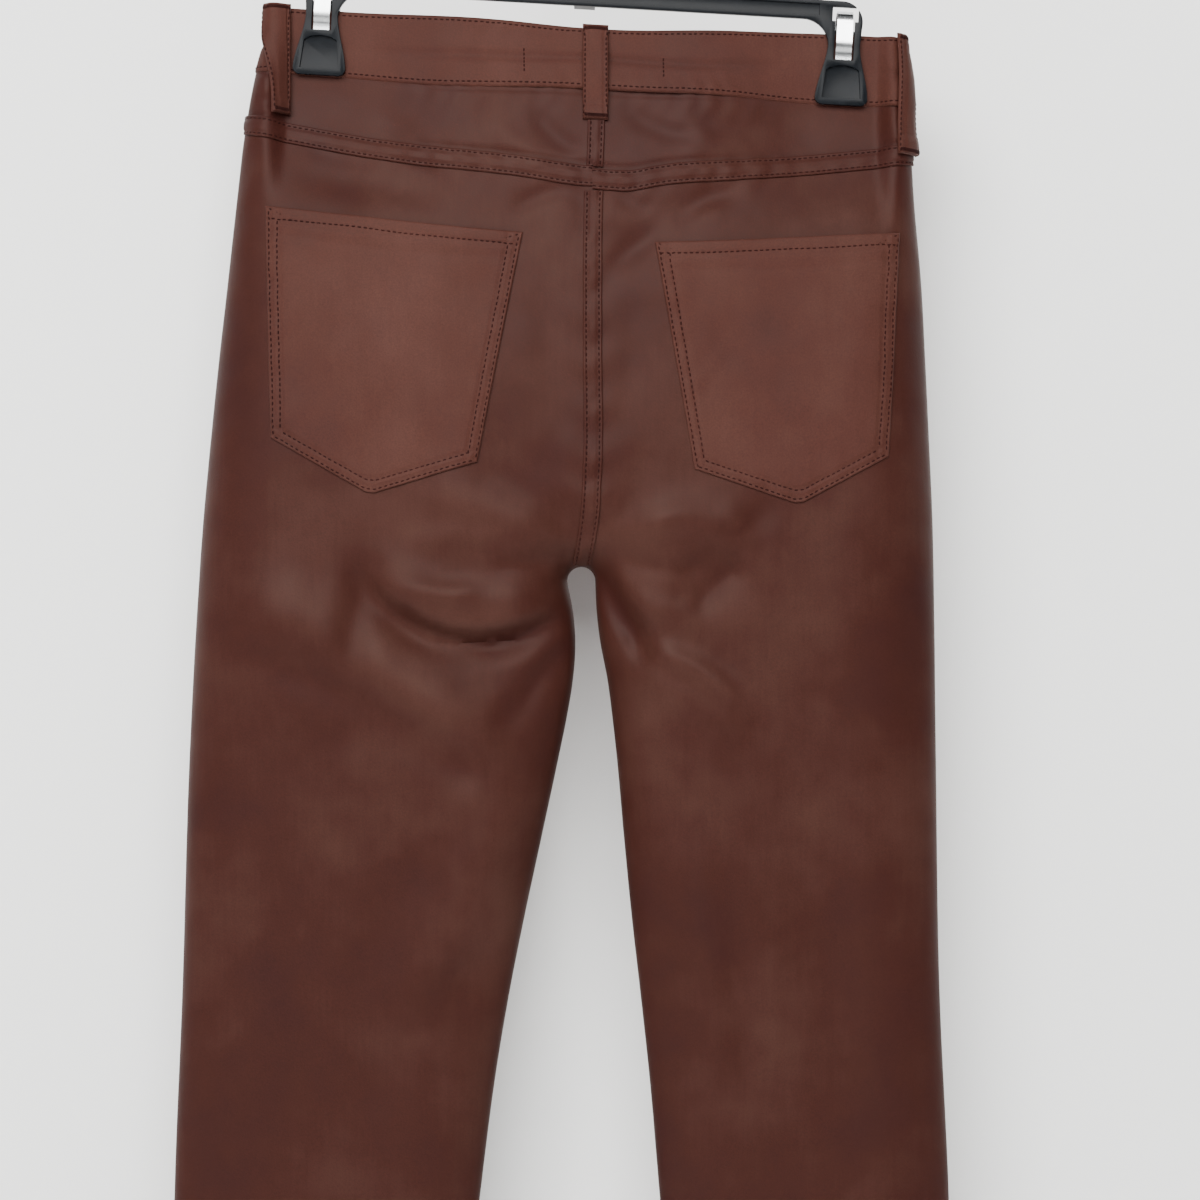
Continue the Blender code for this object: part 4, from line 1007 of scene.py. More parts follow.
grid = band_grid(BAND_SHARES)
normals = grid_normals(grid)
height = np.linalg.norm(grid[-1] - grid[0], axis=-1)[None, :, None] / MM
share = BAND_SHARES[:, None, None]
near_edge = np.minimum(share, 1 - share) * height
half = BAND_CLOTH / 2 * rounded(near_edge + 0.05, BAND_ROUND)
relief = band_relief(grid[..., 0] / MM, BAND_SHARES[:, None], height[..., 0])
inside = rounded(near_edge, BAND_EDGE)[..., 0]
held = pinch(grid[..., 0] / MM - CENTRE_X, BAND_SHARES[:, None] * 30)
relief = relief * inside * (1 - held * BAND_HELD)
middle = BAND_STEP - BAND_CLOTH / 2 + relief[..., None]
sheets = raised(grid, normals, middle + half), raised(grid, normals, middle - half)
# The waistband's relief goes to the ridge value too, which paints shade into its crease.
wall("waistband", *sheets, relief / BAND_RIDGE)

# %% [markdown]
# A hem is the leg's end turned up twice, so it is a doubled ring, a little thicker than the leg
# and rounded at its lower fold.

# %% Hems
HEM_STEP = 0.5
HEM_FOLD = HEM_DOWN - np.array([0.9, 0.4, 0.1, 0])
HEM_DOWNS = np.array([*np.linspace(HEM_DOWN - HEM_HEIGHT, HEM_DOWN - 1.5, 9), *HEM_FOLD])
for left in (True, False):
    rows = []
    for down in HEM_DOWNS:
        side = float(side_line(down, left))
        inseam = float(inseam_left(down) if left else inseam_right(down))
        x = side + (inseam - side) * column_shares(abs(inseam - side), down, down, 1.0, 1.0)
        height = np.full(len(x), down)
        back = np.stack([x, -depth_at(x, height, False), height], axis=-1)
        front = np.stack([x, depth_at(x, height, True), height], axis=-1)
        rows.append(np.concatenate([back, front[-2:0:-1]]))
    grid = np.array(rows)
    base = placed(grid)
    normals = grid_normals(base, True) * (1 if left else -1)
    near = np.minimum(HEM_DOWNS - HEM_DOWNS[0], HEM_DOWN - HEM_DOWNS)[:, None, None]
    roll = 0.25 * wander(grid[..., 0] / 9, grid[..., 2] / 4, 61 + left)[..., None]
    roll = roll * rounded(near, 4)
    half = BAND_CLOTH / 2 * rounded(near + 0.08, 1.5)
    middle = HEM_STEP - BAND_CLOTH / 2 + roll
    sheets = raised(base, normals, middle + half), raised(base, normals, middle - half)
    wall("hem_" + side_name(left), *sheets, wrap=True)

# %% [markdown]
# Strips, pockets and the fly flap are sewn on top of the panels. Each is a patch with a turned
# edge: its outer face curves down to the panel over the last millimetre. The stitches pull a
# shallow groove, so the surface also dips along every row of sewing.

# %% Sewn-on patches
TURNED = 1.3
GROOVE_WIDE = 1.0
GROOVE_DEEP = 0.6


def with_edges(length, step, close=(0.0, 0.35, 0.8, 1.4)):
    """Places from 0 to a length, evenly spaced inside and close together at both ends."""
    count = max(3, int((length - 2 * close[-1]) / step))
    inner = np.linspace(close[-1], length - close[-1], count)
    return np.concatenate([close[:-1], inner, length - np.array(close[:-1])[::-1]])


def edge_distances(rows):
    """Millimetres from each point of a patch to its top, bottom, first and last edge."""
    down_steps = np.linalg.norm(np.diff(rows, axis=0), axis=-1)
    across_steps = np.linalg.norm(np.diff(rows, axis=1), axis=-1)
    top = np.concatenate([np.zeros((1, rows.shape[1])), np.cumsum(down_steps, axis=0)])
    first = np.concatenate([np.zeros((rows.shape[0], 1)), np.cumsum(across_steps, axis=1)], axis=1)
    return top, top[-1:] - top, first, first[:, -1:] - first


def patch(name, rows, front, thick, lift, sewn=(), open_edges=(), bumps=0.0):
    """A sewn-on patch with turned edges and with grooves along its rows of sewing."""
    distances = edge_distances(rows)
    turned = [d for k, d in enumerate(distances) if k not in open_edges]
    near = np.minimum.reduce(turned)
    round_off = 0.12 + 0.88 * rounded(near, TURNED)
    groove = np.zeros(near.shape)
    for which, distance in sewn:
        groove = np.maximum(groove, np.exp(-(((distances[which] - distance) / GROOVE_WIDE) ** 2)))
    height = (thick - GROOVE_DEEP * groove) * round_off + bumps * rounded(near, 3.0)
    return lay(name, rows, front, height, lift)


print("sewn-on patches turn their edges over", TURNED, "mm")

# %% [markdown]
# The folded seam along each yoke is a strip 12 mm wide with two rows of stitches. The sewing
# gathers it, and it ropes: small slanted swellings that follow one another along the strip.

# %% Seam strips
STRIP_ABOVE = 1.0
STRIP_BELOW = 10.6
STRIP_LIFT = 0.75
RISE_HALF = 5.35
YOKE_HALF = 4.8
RISE_END = 304.0
STRIP_ROW = 2.0


def roping(along, across, spacing, high, seed):
    """Slanted swellings along a seam strip, uneven in spacing and height."""
    shift = 0.3 * spacing * wander(along / spacing * 0.7, along * 0 + 0.5, seed)
    strength = 0.6 + 0.4 * wander(along / 21, along * 0 + 2.5, seed + 1)
    return high * np.sin((along + across * 0.7 + shift) / spacing * math.tau) * strength


for left in (True, False):
    across = with_edges(STRIP_ABOVE + STRIP_BELOW, 0.9) - STRIP_ABOVE
    end = float(side_left(60.0) if left else side_right(75.0))
    x = np.linspace(end, 0.0, 150)
    for _ in range(3):
        x[0] = side_line(yoke_seam(x[0], left), left)
    x = np.concatenate([x[0] + (x[1] - x[0]) * np.array([0, 0.03, 0.1, 0.22, 0.4, 0.65]), x[1:]])
    down = yoke_seam(x, left) + across[:, None]
    rows = np.stack([np.broadcast_to(x, down.shape), down], axis=-1)
    rope = roping(rows[..., 0], across[:, None], 11.0, 0.09, 67 + left)
    sewn = ((0, STRIP_ROW), (1, STRIP_ROW))
    patch("strip_yoke_" + side_name(left), rows, False, STRIP_CLOTH, STRIP_LIFT, sewn, (2, 3), rope)


def centre_strip(downs, half):
    """Rows of a strip that follows the centre line."""
    across = with_edges(2 * half, 0.8) - half
    x = centre_line(downs)[:, None] + across
    return np.stack([x, np.repeat(downs[:, None], len(across), axis=1)], axis=-1)


loop_end = band_bottom_back(2.0) + 18.0
for name, top, end, half in (
    ("strip_yoke_centre", loop_end, float(yoke_seam_left(0.0)) - STRIP_ABOVE, YOKE_HALF),
    ("strip_rise", float(yoke_seam_right(8.0)) + STRIP_BELOW + 0.3, RISE_END, RISE_HALF),
):
    rows = centre_strip(top + with_edges(end - top, 1.6), half)
    rope = roping(rows[..., 1], rows[..., 0], 14.5, 0.2, 71)
    sewn = ((2, STRIP_ROW), (3, STRIP_ROW))
    patch(name, rows, False, STRIP_CLOTH, STRIP_LIFT, sewn, (0, 1), rope)

# %% [markdown]
# A back pocket is a five-sided patch: a straight mouth with a wide hem, and a shallow point.
# Its mouth stands a little open, so that the shadow under it shows that it is a real pocket.
# The corners of both pockets come from tables, as the two don't hang quite alike.

# %% Back pockets
POCKETS = table("left mouth_x0 mouth_down0 mouth_x1 mouth_down1 x0 down0 point_x point_down x1 down1", """
1 -184.5 102.3 -39.3 117.5 -180.5 233.9 -125.1 265.6 -64.7 247.5
0 35.3 123.2 173.2 117.5 57.3 251.4 116.1 271.2 166.4 244.1
""")
POCKET_LIFT = 0.7
POCKET_CLOTH = 1.2
MOUTH_GAPE = 1.6
POCKET_ROWS = (2.3, 7.4)
POCKET_HEM = 7.8
POCKET_STEP = 1.35
POCKET_CREASE = 16.5
POCKET_LAYERS = ((0.5, 34, 40, 73), (0.22, 13, 17, 79)), ((0.5, 34, 40, 74), (0.22, 13, 17, 79))
POINT_SOFT = 0.03

for row in zip(*POCKETS.values()):
    left, x_a, down_a, x_b, down_b, x_e, down_e, x_p, down_p, x_c, down_c = row
    wide = abs(x_b - x_a)
    point = (x_p - x_e) / (x_c - x_e)
    shares = with_edges(wide, POCKET_STEP) / wide
    soft = np.abs(shares - point) < POINT_SOFT
    low_down = np.interp(shares, [0, point, 1], [down_e, down_p, down_c])
    low_down[soft] -= 1.2 * (1 - np.abs(shares[soft] - point) / POINT_SOFT) ** 2
    low = np.stack([x_e + (x_c - x_e) * shares, low_down], axis=-1)
    high_down = down_a + (down_b - down_a) * shares + 1.2 * np.sin(math.pi * shares)
    high = np.stack([x_a + (x_b - x_a) * shares, high_down], axis=-1)
    tall = float(np.linalg.norm(high - low, axis=-1).mean())
    lines = with_edges(tall, POCKET_STEP) / tall
    rows = high + (low - high) * lines[:, None, None]
    gape = MOUTH_GAPE * np.sin(math.pi * shares) * ease(1 - lines * 4)[:, None]
    u, v = rows[..., 0], rows[..., 1]
    swell = uneven(u, v, POCKET_LAYERS[left == 1])
    sides = np.minimum(shares, 1 - shares)[None, :] * wide
    from_top = lines[:, None] * tall
    swell = swell + puckers(sides - 4, v, "pocket side")
    swell = swell + puckers((1 - lines[:, None]) * tall - 4, u, "pocket bottom")
    swell = swell - 0.35 * np.exp(-(((from_top - POCKET_CREASE) / 3.0) ** 2))
    sewn = [(edge, d) for edge in (1, 2, 3) for d in POCKET_ROWS] + [(0, POCKET_HEM)]
    name = "pocket_" + side_name(left == 1)
    patch(name, rows, False, POCKET_CLOTH, POCKET_LIFT + gape, sewn, (), swell)

# %% [markdown]
# The fly flap covers the zip at centre front. Its left edge curves in to its lower end.

# %% Fly flap
FLY_LEFT = -37.0
FLY_RIGHT = 4.0
FLY_LONG = 150.0
FLY_CURVE = 0.62
FLY_LAST = 0.985
FLY_UNDER = 1.7
rows = []
fly_top = float(front_top(0.0)) + FLY_UNDER
across = with_edges(FLY_RIGHT - FLY_LEFT, 1.4) / (FLY_RIGHT - FLY_LEFT)
for share in with_edges(FLY_LONG, 1.7) / FLY_LONG * FLY_LAST:
    turn = max(0.0, (share - FLY_CURVE) / (1 - FLY_CURVE))
    reach = FLY_RIGHT + (FLY_LEFT - FLY_RIGHT) * math.sqrt(1 - turn ** 2)
    x = reach + (FLY_RIGHT - reach) * across
    down = front_top(x) + FLY_UNDER + FLY_LONG * share
    rows.append(np.stack([x + centre_line(fly_top + FLY_LONG * share), down], axis=-1))
patch("fly_flap", np.array(rows), True, CLOTH, REST_GAP, ((3, 2.0),), (0,))

# %% [markdown]
# A belt loop is a narrow strip folded in three, sewn down at both ends and bowed between them.
# The two outer ones behind are fixed so near the side that they wrap round it.

# %% Belt loops
LOOPS = table("left front x below raise", """
1 0 -172 24 1.8
1 0 9 17.8 0
0 0 172.6 28 1.5
1 1 -84 20 0
0 1 84 20 0
""")
LOOP_NAMES = ("back_left", "back_centre", "back_right", "front_left", "front_right")
LOOP_WIDE = 14.6
LOOP_CLOTH = 1.8
LOOP_END_CLOTH = 2.8
LOOP_ABOVE = 2.0
LOOP_SHAPE = table("along lift fold", """
0 1.5 1
0.08 1.8 1
0.16 2.9 0
0.36 3.9 0
0.56 3.6 0
0.72 2.3 0
0.84 1.4 0
0.88 1 1
1 0.8 1
""")
SECTION_POINTS = 400
SECTION_REACH = 1.15
LOOP_ROWS = 40
LOOP_SEWN = 2.1


def section(left, front, down_of):
    """The body's outline at a height, past the side and on to the other face."""
    parts = []
    for face in (front, not front):
        start = side_start(lambda x: down_of(x, face), left)
        side = side_line(start, left)
        shares = np.linspace(0, 1, SECTION_POINTS) ** 2
        x = side + (centre_line(start) - side) * shares * SECTION_REACH
        down = down_of(x, face)
        y = depth_at(x, down, face, False) * (1 if face else -1)
        parts.append(np.stack([x, y, down], axis=-1))
    path = np.concatenate([parts[1][:0:-1], parts[0]])
    steps = np.linalg.norm(np.diff(path[:, :2], axis=0), axis=-1)
    around = np.concatenate([[0], np.cumsum(steps)])
    return path, around - around[SECTION_POINTS - 1]


loop_along = with_edges(1.0, 1 / LOOP_ROWS, (0.0, 0.008, 0.02, 0.04))
for name, left, front, x, below, lifted in zip(LOOP_NAMES, *LOOPS.values()):
    rows = []
    places = with_edges(LOOP_WIDE, 0.8)
    for along in loop_along:
        def down_of(x, front, along=along):
            start = band_top(x, front) - LOOP_ABOVE
            return start * (1 - along) + (band_bottom(x, front) + below) * along

        path, around = section(left == 1, front == 1, down_of)
        own_face = path[SECTION_POINTS - 1:]
        inward = 1 if left else -1
        edge = np.interp(x * inward, own_face[:, 0] * inward, around[SECTION_POINTS - 1:])
        across = edge - places[::-1]
        rows.append([[np.interp(a, around, path[:, k]) for k in range(3)] for a in across])
    grid = np.array(rows)
    base = placed(grid)
    normals = grid_normals(base) * (-1 if left == front else 1)
    lift = np.interp(loop_along, LOOP_SHAPE["along"], LOOP_SHAPE["lift"])
    lift = lift + lifted * ease(loop_along * 3 - 2)
    fold = ease(np.interp(loop_along, LOOP_SHAPE["along"], LOOP_SHAPE["fold"]))
    thick = LOOP_CLOTH + (LOOP_END_CLOTH - LOOP_CLOTH) * fold
    side = np.minimum(places, LOOP_WIDE - places)
    length = float(np.linalg.norm(base[-1] - base[0], axis=-1).mean()) / MM
    ends = np.minimum(loop_along, 1 - loop_along)[:, None] * length
    near = np.minimum(side[None, :], ends)
    body = 0.15 + 0.85 * rounded(near, TURNED)
    groove = np.exp(-(((side - LOOP_SEWN) / 0.9) ** 2))[None, :] * GROOVE_DEEP
    seed = 97 + LOOP_NAMES.index(name)
    swell = 0.22 * wander(places[None, :] / 7, loop_along[:, None] * length / 9, seed)
    height = ((thick[:, None] - groove) * body + swell * rounded(near, 3))[..., None]
    low = lift[:, None, None]
    sheets = raised(base, normals, low + height), raised(base, normals, low)
    # The swell goes to the ridge value, which paints shade into its hollows and sheen on its bumps.
    wall("loop_" + name, *sheets, swell * 2)

# %% [markdown]
# The thread is darker than the cloth, partly as its own tone and partly as painted shade of the small
# shadow that a stitch sits in; a stitch also shows by its shape and its real small shadow.
# Each stitch is a tiny grain of thread sunk in its groove. They follow a line that runs at a
# set distance inside the edge of a piece, read off that piece's own surface.

# %% Stitches
STITCH_PITCH = 3.3
STITCH_LONG = 2.05
STITCH_WIDE = 0.85
STITCH_HIGH = 0.5
STITCH_SIZE = (STITCH_PITCH, STITCH_LONG, STITCH_WIDE, STITCH_HIGH)
SIDES_OF_GRAIN = 6
GRAIN_ENDS = ((-0.5, 0.4), (-0.34, 1.0), (0.34, 1.0), (0.5, 0.4))


def run_of(path):
    """Millimetres from the start of a path to each of its points."""
    return np.concatenate([[0], np.cumsum(np.linalg.norm(np.diff(path, axis=0), axis=-1))]) / MM


def read_line(at, along, values):
    """Rows of values that are given along a line, read at other places on it."""
    return np.stack([np.interp(at, along, column) for column in values.T], axis=-1)


def edge_line(name, edge, distance, skip=0.0, rows=None):
    """Points and normals along a line that runs at a distance inside one edge of a piece."""
    grid, normals = made[name]["outer"], made[name]["normals"]
    if rows is not None:
        grid, normals = grid[rows], normals[rows]
    if edge in ("first", "last"):
        grid, normals = np.swapaxes(grid, 0, 1), np.swapaxes(normals, 0, 1)
    if edge in ("bottom", "last"):
        grid, normals = grid[::-1], normals[::-1]
    steps = np.linalg.norm(np.diff(grid, axis=0), axis=-1)
    along = np.concatenate([np.zeros((1, grid.shape[1])), np.cumsum(steps, axis=0)]) / MM
    columns = range(grid.shape[1])
    points, leans = (
        np.array([read_line(distance, along[:, k], values[:, k]) for k in columns])
        for values in (grid, normals)
    )
    run = run_of(points)
    keep = (run >= skip) & (run <= run[-1] - skip)
    return points[keep], leans[keep]


def grain_faces(start):
    """The faces of one grain of thread, whose rings of points begin at a number."""
    n = SIDES_OF_GRAIN
    faces = []
    for ring in range(start, start + n * (len(GRAIN_ENDS) - 1), n):
        for k in range(n):
            p, q = ring + k, ring + (k + 1) % n
            faces.append((p, q, q + n, p + n))
    final = start + n * (len(GRAIN_ENDS) - 1)
    return faces + [tuple(range(start + n - 1, start - 1, -1)), tuple(range(final, final + n))]


def thread(name, lines, size=STITCH_SIZE, turned=False):
    """One object with a small grain of thread at each stitch of all its lines."""
    pitch, long, wide, high = size
    points, faces = [], []
    for line_number, (path, leans) in enumerate(lines):
        run = run_of(path)
        places = np.arange(pitch / 2, run[-1], pitch)
        wobble = wander(places / 5, places * 0 + line_number, 101)
        places = places + wobble * pitch * 0.07
        middle = read_line(places, run, path)
        along = read_line(places + 0.6, run, path) - read_line(places - 0.6, run, path)
        lean = read_line(places, run, leans)
        lean /= np.linalg.norm(lean, axis=-1, keepdims=True)
        along -= lean * (along * lean).sum(axis=-1, keepdims=True)
        along /= np.maximum(np.linalg.norm(along, axis=-1, keepdims=True), 1e-9)
        across = np.cross(along, lean)
        if turned:
            along, across = across, along
        for m, a, c, n, tilt in zip(middle, along, across, lean, wobble):
            a = a + c * tilt * 0.09
            faces += grain_faces(len(points))
            for end, thick in GRAIN_ENDS:
                for turn in np.arange(SIDES_OF_GRAIN) / SIDES_OF_GRAIN * math.tau:
                    side = c * math.cos(turn) * wide / 2 * thick
                    up = n * (math.sin(turn) * high / 2 * thick + high * (0.16 - 0.5 * abs(end)))
                    points.append(m + (a * end * long + side + up) * MM)
    piece = linked(name, new_mesh(name, [tuple(p) for p in points], faces))
    piece.data.shade_smooth()
    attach(piece, "root")
    print(f"{name}: {len(points) // (SIDES_OF_GRAIN * len(GRAIN_ENDS))} stitches")
    return piece


LABEL_MARKS = ((-38.7, 12, 22), (39.3, 13, 22))
MARK_SIZE = (2.4, 1.7, STITCH_WIDE, STITCH_HIGH)
LOOP_SIZE = (3.0, 1.9, STITCH_WIDE, STITCH_HIGH)
BAR_SIZE = (0.62, 2.1, 0.6, 0.5)

rows = [edge_line("waistband", "top", 2.6), edge_line("waistband", "bottom", 3.0)]
sewing = {"waistband": [thread("sewing_waistband", rows)]}
marks = []
band, leans = made["waistband"]["outer"], made["waistband"]["normals"]
for x, first_row, last_row in LABEL_MARKS:
    far = np.abs(band[14, :, 0] / MM - CENTRE_X - x) + 1e3 * (band[14, :, 1] > 0)
    spots = slice(first_row, last_row), int(np.argmin(far))
    marks.append((band[spots], leans[spots]))
sewing["waistband"].append(thread("sewing_label_marks", marks, MARK_SIZE))
for side in ("left", "right"):
    strip = "strip_yoke_" + side
    rows = [edge_line(strip, "top", STRIP_ROW), edge_line(strip, "bottom", STRIP_ROW)]
    sewing["yoke_" + side] = [thread("sewing_yoke_" + side, rows)]
    pocket = "pocket_" + side
    hem = edge_line(pocket, "top", POCKET_HEM, 2.0)
    rows = [hem]
    for distance in POCKET_ROWS:
        rows += [edge_line(pocket, edge, distance, distance) for edge in ("first", "last", "bottom")]
    for edge in ("first", "last"):
        path, leans = edge_line(pocket, edge, POCKET_ROWS[0])
        corner = np.array([path[3], hem[0][9 if edge == "first" else -10]])
        rows.append((corner, np.array([leans[3], leans[9]])))
    sewing[pocket] = [thread("sewing_" + pocket, rows)]
    hem = "hem_" + side
    sewing[hem] = [thread("sewing_" + hem, [edge_line(hem, "top", 2.6)])]
    scoop = slice(0, len(SCOOP_TURNS))
    rows = [edge_line("front_" + side, "first", distance, 1.0, scoop) for distance in (2.4, 8.4)]
    sewing["front_" + side] = [thread("sewing_scoop_" + side, rows)]
rows = []
for strip in ("strip_yoke_centre", "strip_rise"):
    rows += [edge_line(strip, "first", STRIP_ROW), edge_line(strip, "last", STRIP_ROW)]
sewing["back_left"] = [thread("sewing_rise", rows)]
rows = [edge_line("fly_flap", "last", 2.0)]
rows += [edge_line("fly_flap", "first", distance, 2.0) for distance in (3.0, 9.2)]
sewing["fly_flap"] = [thread("sewing_fly", rows)]
sides, bars = [], []
for name in LOOP_NAMES:
    loop = "loop_" + name
    sides += [edge_line(loop, edge, LOOP_SEWN, 3.0) for edge in ("first", "last")]
    bars += [edge_line(loop, "bottom", 3.6, 2.2), edge_line(loop, "top", 4.0, 2.2)]
sewing["loop_back_left"] = [
    thread("sewing_loops", sides, LOOP_SIZE),
    thread("sewing_bars", bars, BAR_SIZE, turned=True),
]

# %% [markdown]
# The hanger is moulded plastic: a bar with a rib, and two clips. The front half of each clip
# is part of the bar. It has a slot that shows the spring, and a sunk pad over its jaw. Every
# edge of a moulding is a little round, so each solid gets a narrow bevel after it is cut.

# %% Hanger outline
CLIP_A = 149.0
JAW_FACE = 4.2
JAW_THICK = 3.0
BAR_TOP, BAR_UNDER, BAR_RIB_END = -105.5, -116.5, 138.0
NECK_HALF, NECK_H = 9.0, -131.0
JAW_HALF, JAW_BOTTOM, JAW_CORNER = 15.0, -164.5, 4.0
BEND_RADIUS, END_RADIUS = 15.0, 12.0
BOSS_HALF, BOSS_TOP = 8.0, -95.0
PLASTIC = "hanger_plastic"
STEEL = "spring_steel"
BODY_BEVEL, JAW_BEVEL = 0.4, 0.45
PAD_WIDE, PAD_LOW, PAD_BOW_WIDE, PAD_BOW_HIGH, PAD_TOP, PAD_DEEP = 11.0, -160.6, 9.4, 3.6, -145.6, 2.0


def arc(centre_a, centre_h, radius, start, end, steps=9):
    """Places along an arc, between two angles in degrees."""
    turns = np.radians(np.linspace(start, end, steps))
    return [(centre_a + radius * math.cos(t), centre_h + radius * math.sin(t)) for t in turns]


def tilted(a, y, h):
    """A place on the hanger in metres, from its own upright frame to the hanging one."""
    x = a * math.cos(TILT) + h * math.sin(TILT)
    return (x * MM, y * MM, (h * math.cos(TILT) - a * math.sin(TILT)) * MM)


def jaw_sides(centre, outer_side):
    """One edge of a jaw: it leaves the neck in a soft curve and ends in a round corner."""
    corner_a = centre + outer_side * (JAW_HALF - JAW_CORNER)
    start, end = (0, -90) if outer_side > 0 else (180, 270)
    bottom = arc(corner_a, JAW_BOTTOM + JAW_CORNER, JAW_CORNER, start, end, 8)
    flare = []
    for t in np.linspace(0, 0.9, 8):
        out = NECK_HALF + (JAW_HALF - NECK_HALF) * (0.35 * t + 0.65 * float(ease(t)))
        flare.append((centre + outer_side * out, NECK_H + (JAW_BOTTOM + JAW_CORNER - NECK_H) * t))
    return flare + bottom


def solid(name, outline, near, far):
    """A closed solid between two depths of the hanger's plane."""
    count = len(outline)
    points = [tilted(a, near, h) for a, h in outline] + [tilted(a, far, h) for a, h in outline]
    faces = [tuple(range(count))[::-1], tuple(range(count, 2 * count))]
    faces += [(k, (k + 1) % count, count + (k + 1) % count, count + k) for k in range(count)]
    return linked(name, outward(new_mesh(name, points, faces)))


def outward(mesh):
    """The same closed mesh with its faces turned out, as its signed volume shows."""
    total = 0.0
    for polygon in mesh.polygons:
        corners = [mesh.vertices[v].co for v in polygon.vertices]
        for k in range(1, len(corners) - 1):
            total += corners[0].dot(corners[k].cross(corners[k + 1]))
    if total < 0:
        mesh.flip_normals()
    return mesh


def evaluated(item):
    """A new mesh of an object as its modifiers or its curve make it."""
    bpy.context.view_layer.update()
    graph = bpy.context.evaluated_depsgraph_get()
    return bpy.data.meshes.new_from_object(item.evaluated_get(graph))


def cut_and_round(body, helpers, bevel, name):
    """Joins and cuts the helpers, rounds the edges and keeps only the result."""
    for number, (helper, operation) in enumerate(helpers):
        step = body.modifiers.new(f"step{number}", "BOOLEAN")
        step.operation, step.solver, step.object = operation, "EXACT", helper
    soft = body.modifiers.new("soft edges", "BEVEL")
    soft.width, soft.segments, soft.limit_method = bevel * MM, 3, "ANGLE"
    soft.angle_limit = math.radians(38)
    finished = evaluated(body)
    for item in [body] + [helper for helper, _ in helpers]:
        bpy.data.objects.remove(item, do_unlink=True)
    finished.shade_smooth()
    finished.set_sharp_from_angle(angle=math.radians(32))
    return linked(name, finished)


def rectangle(a0, a1, h0, h1):
    """The four corners of a rectangle."""
    return [(a0, h0), (a1, h0), (a1, h1), (a0, h1)]


print("jaws are", 2 * JAW_HALF, "mm wide, at", -CLIP_A, "and", CLIP_A, "mm")

# %% [markdown]
# One half of the outline runs from the boss to the end of the bar, and the other is its mirror
# image. The sunk pad of a jaw is narrower at its top, with a bowed upper edge.

# %% Hanger body
half = [(BOSS_HALF, BAR_UNDER)]
half += arc(CLIP_A - NECK_HALF - BEND_RADIUS, BAR_UNDER - BEND_RADIUS, BEND_RADIUS, 90, 8, 12)
half += jaw_sides(CLIP_A, -1)
half += jaw_sides(CLIP_A, 1)[::-1]
half += arc(CLIP_A + NECK_HALF + 1.0 - END_RADIUS, BAR_TOP - END_RADIUS, END_RADIUS, 0, 90, 10)
half += [(BOSS_HALF + 4.0, BAR_TOP), (BOSS_HALF, BAR_TOP + 4.0), (BOSS_HALF - 2.0, BOSS_TOP)]
outline = half + [(-a, h) for a, h in half[::-1]]
face = -(JAW_FACE + JAW_THICK)
body = solid("hanger_body", outline, face, -JAW_FACE)
rib = rectangle(-BAR_RIB_END, BAR_RIB_END, BAR_UNDER + 0.6, BAR_TOP - 0.6)
boss = rectangle(-BOSS_HALF + 2.0, BOSS_HALF - 2.0, BAR_UNDER + 0.3, BOSS_TOP - 0.3)
channel = rectangle(-BAR_RIB_END + 4, BAR_RIB_END - 4, BAR_UNDER + 2.4, BAR_TOP - 2.2)
shapes = [
    ("rib", rib, face + 1.0, -1.2),
    ("boss", boss, face + 0.5, 5.5),
    ("channel", channel, face - 1, face + 1.2),
]
for side in (-1, 1):
    a = CLIP_A * side
    pad = [(a - PAD_WIDE, PAD_LOW), (a + PAD_WIDE, PAD_LOW)]
    bow = np.linspace(0.02, math.pi - 0.02, 16)
    pad += [(a + PAD_BOW_WIDE * math.cos(t), PAD_TOP + PAD_BOW_HIGH * math.sin(t)) for t in bow]
    shapes.append(("slot", rectangle(a - 5.6, a + 5.6, -138.8, -116.0), face - 2, 0))
    shapes.append(("head", rectangle(a - 7.4, a + 7.4, -117.0, -108.8), face - 2, 0))
    shapes.append(("pad", pad, face - 2, face + PAD_DEEP))
helpers = []
for name, shape, near, far in shapes:
    operation = "UNION" if name in ("rib", "boss") else "DIFFERENCE"
    helpers.append((solid(name, shape, near, far), operation))
moulding = cut_and_round(body, helpers, BODY_BEVEL, "hanger_moulding")
hanger_piece = carried(moulding, "hanger", PLASTIC)
rear = []
for side, name in ((-1, "left"), (1, "right")):
    a = CLIP_A * side
    shape = jaw_sides(a, -1) + jaw_sides(a, 1)[::-1]
    shape += arc(a + NECK_HALF - 4, -124.0, 4, 0, 90, 6)
    shape += arc(a - NECK_HALF + 4, -124.0, 4, 90, 180, 6)
    jaw = solid("jaw", shape, JAW_FACE, JAW_FACE + JAW_THICK)
    pad = [(a - 10.6, -160.0), (a + 10.6, -160.0), (a + 8.6, -143.0), (a - 8.6, -143.0)]
    helpers = [(solid("pad", pad, JAW_FACE + 2.2, 12), "DIFFERENCE")]
    jaw = cut_and_round(jaw, helpers, JAW_BEVEL, "jaw_behind_" + name)
    rear.append(carried(jaw, "rear_jaw_" + name, PLASTIC))

# %% [markdown]
# The spring of a clip is one strip of steel, bent over the top of both jaws. The hook is round
# wire: a straight shank, an S-bend and most of a circle, swept with a round section.

# %% Springs and hook
SPRING_HALF = 4.5
SPRING_SHEET = 0.8
SPRING_STEPS = (-SPRING_HALF, -SPRING_HALF + 0.3, SPRING_HALF - 0.3, SPRING_HALF)
SPRING_FRONT = [(-6.0, -139.6), (-6.3, -135.0), (-7.7, -130.0), (-7.3, -123.0), (-6.6, -118.0)]
SPRING_REAR_Y, SPRING_REAR_END, SPRING_TOP = 7.9, -141.0, -110.3


def smoothed(knots, count):
    """A list of points along a smooth curve through a few."""
    number = np.arange(float(len(knots)))
    at = np.linspace(0, len(knots) - 1, count)
    return list(zip(*(smooth_curve(number, column)(at) for column in np.array(knots).T)))


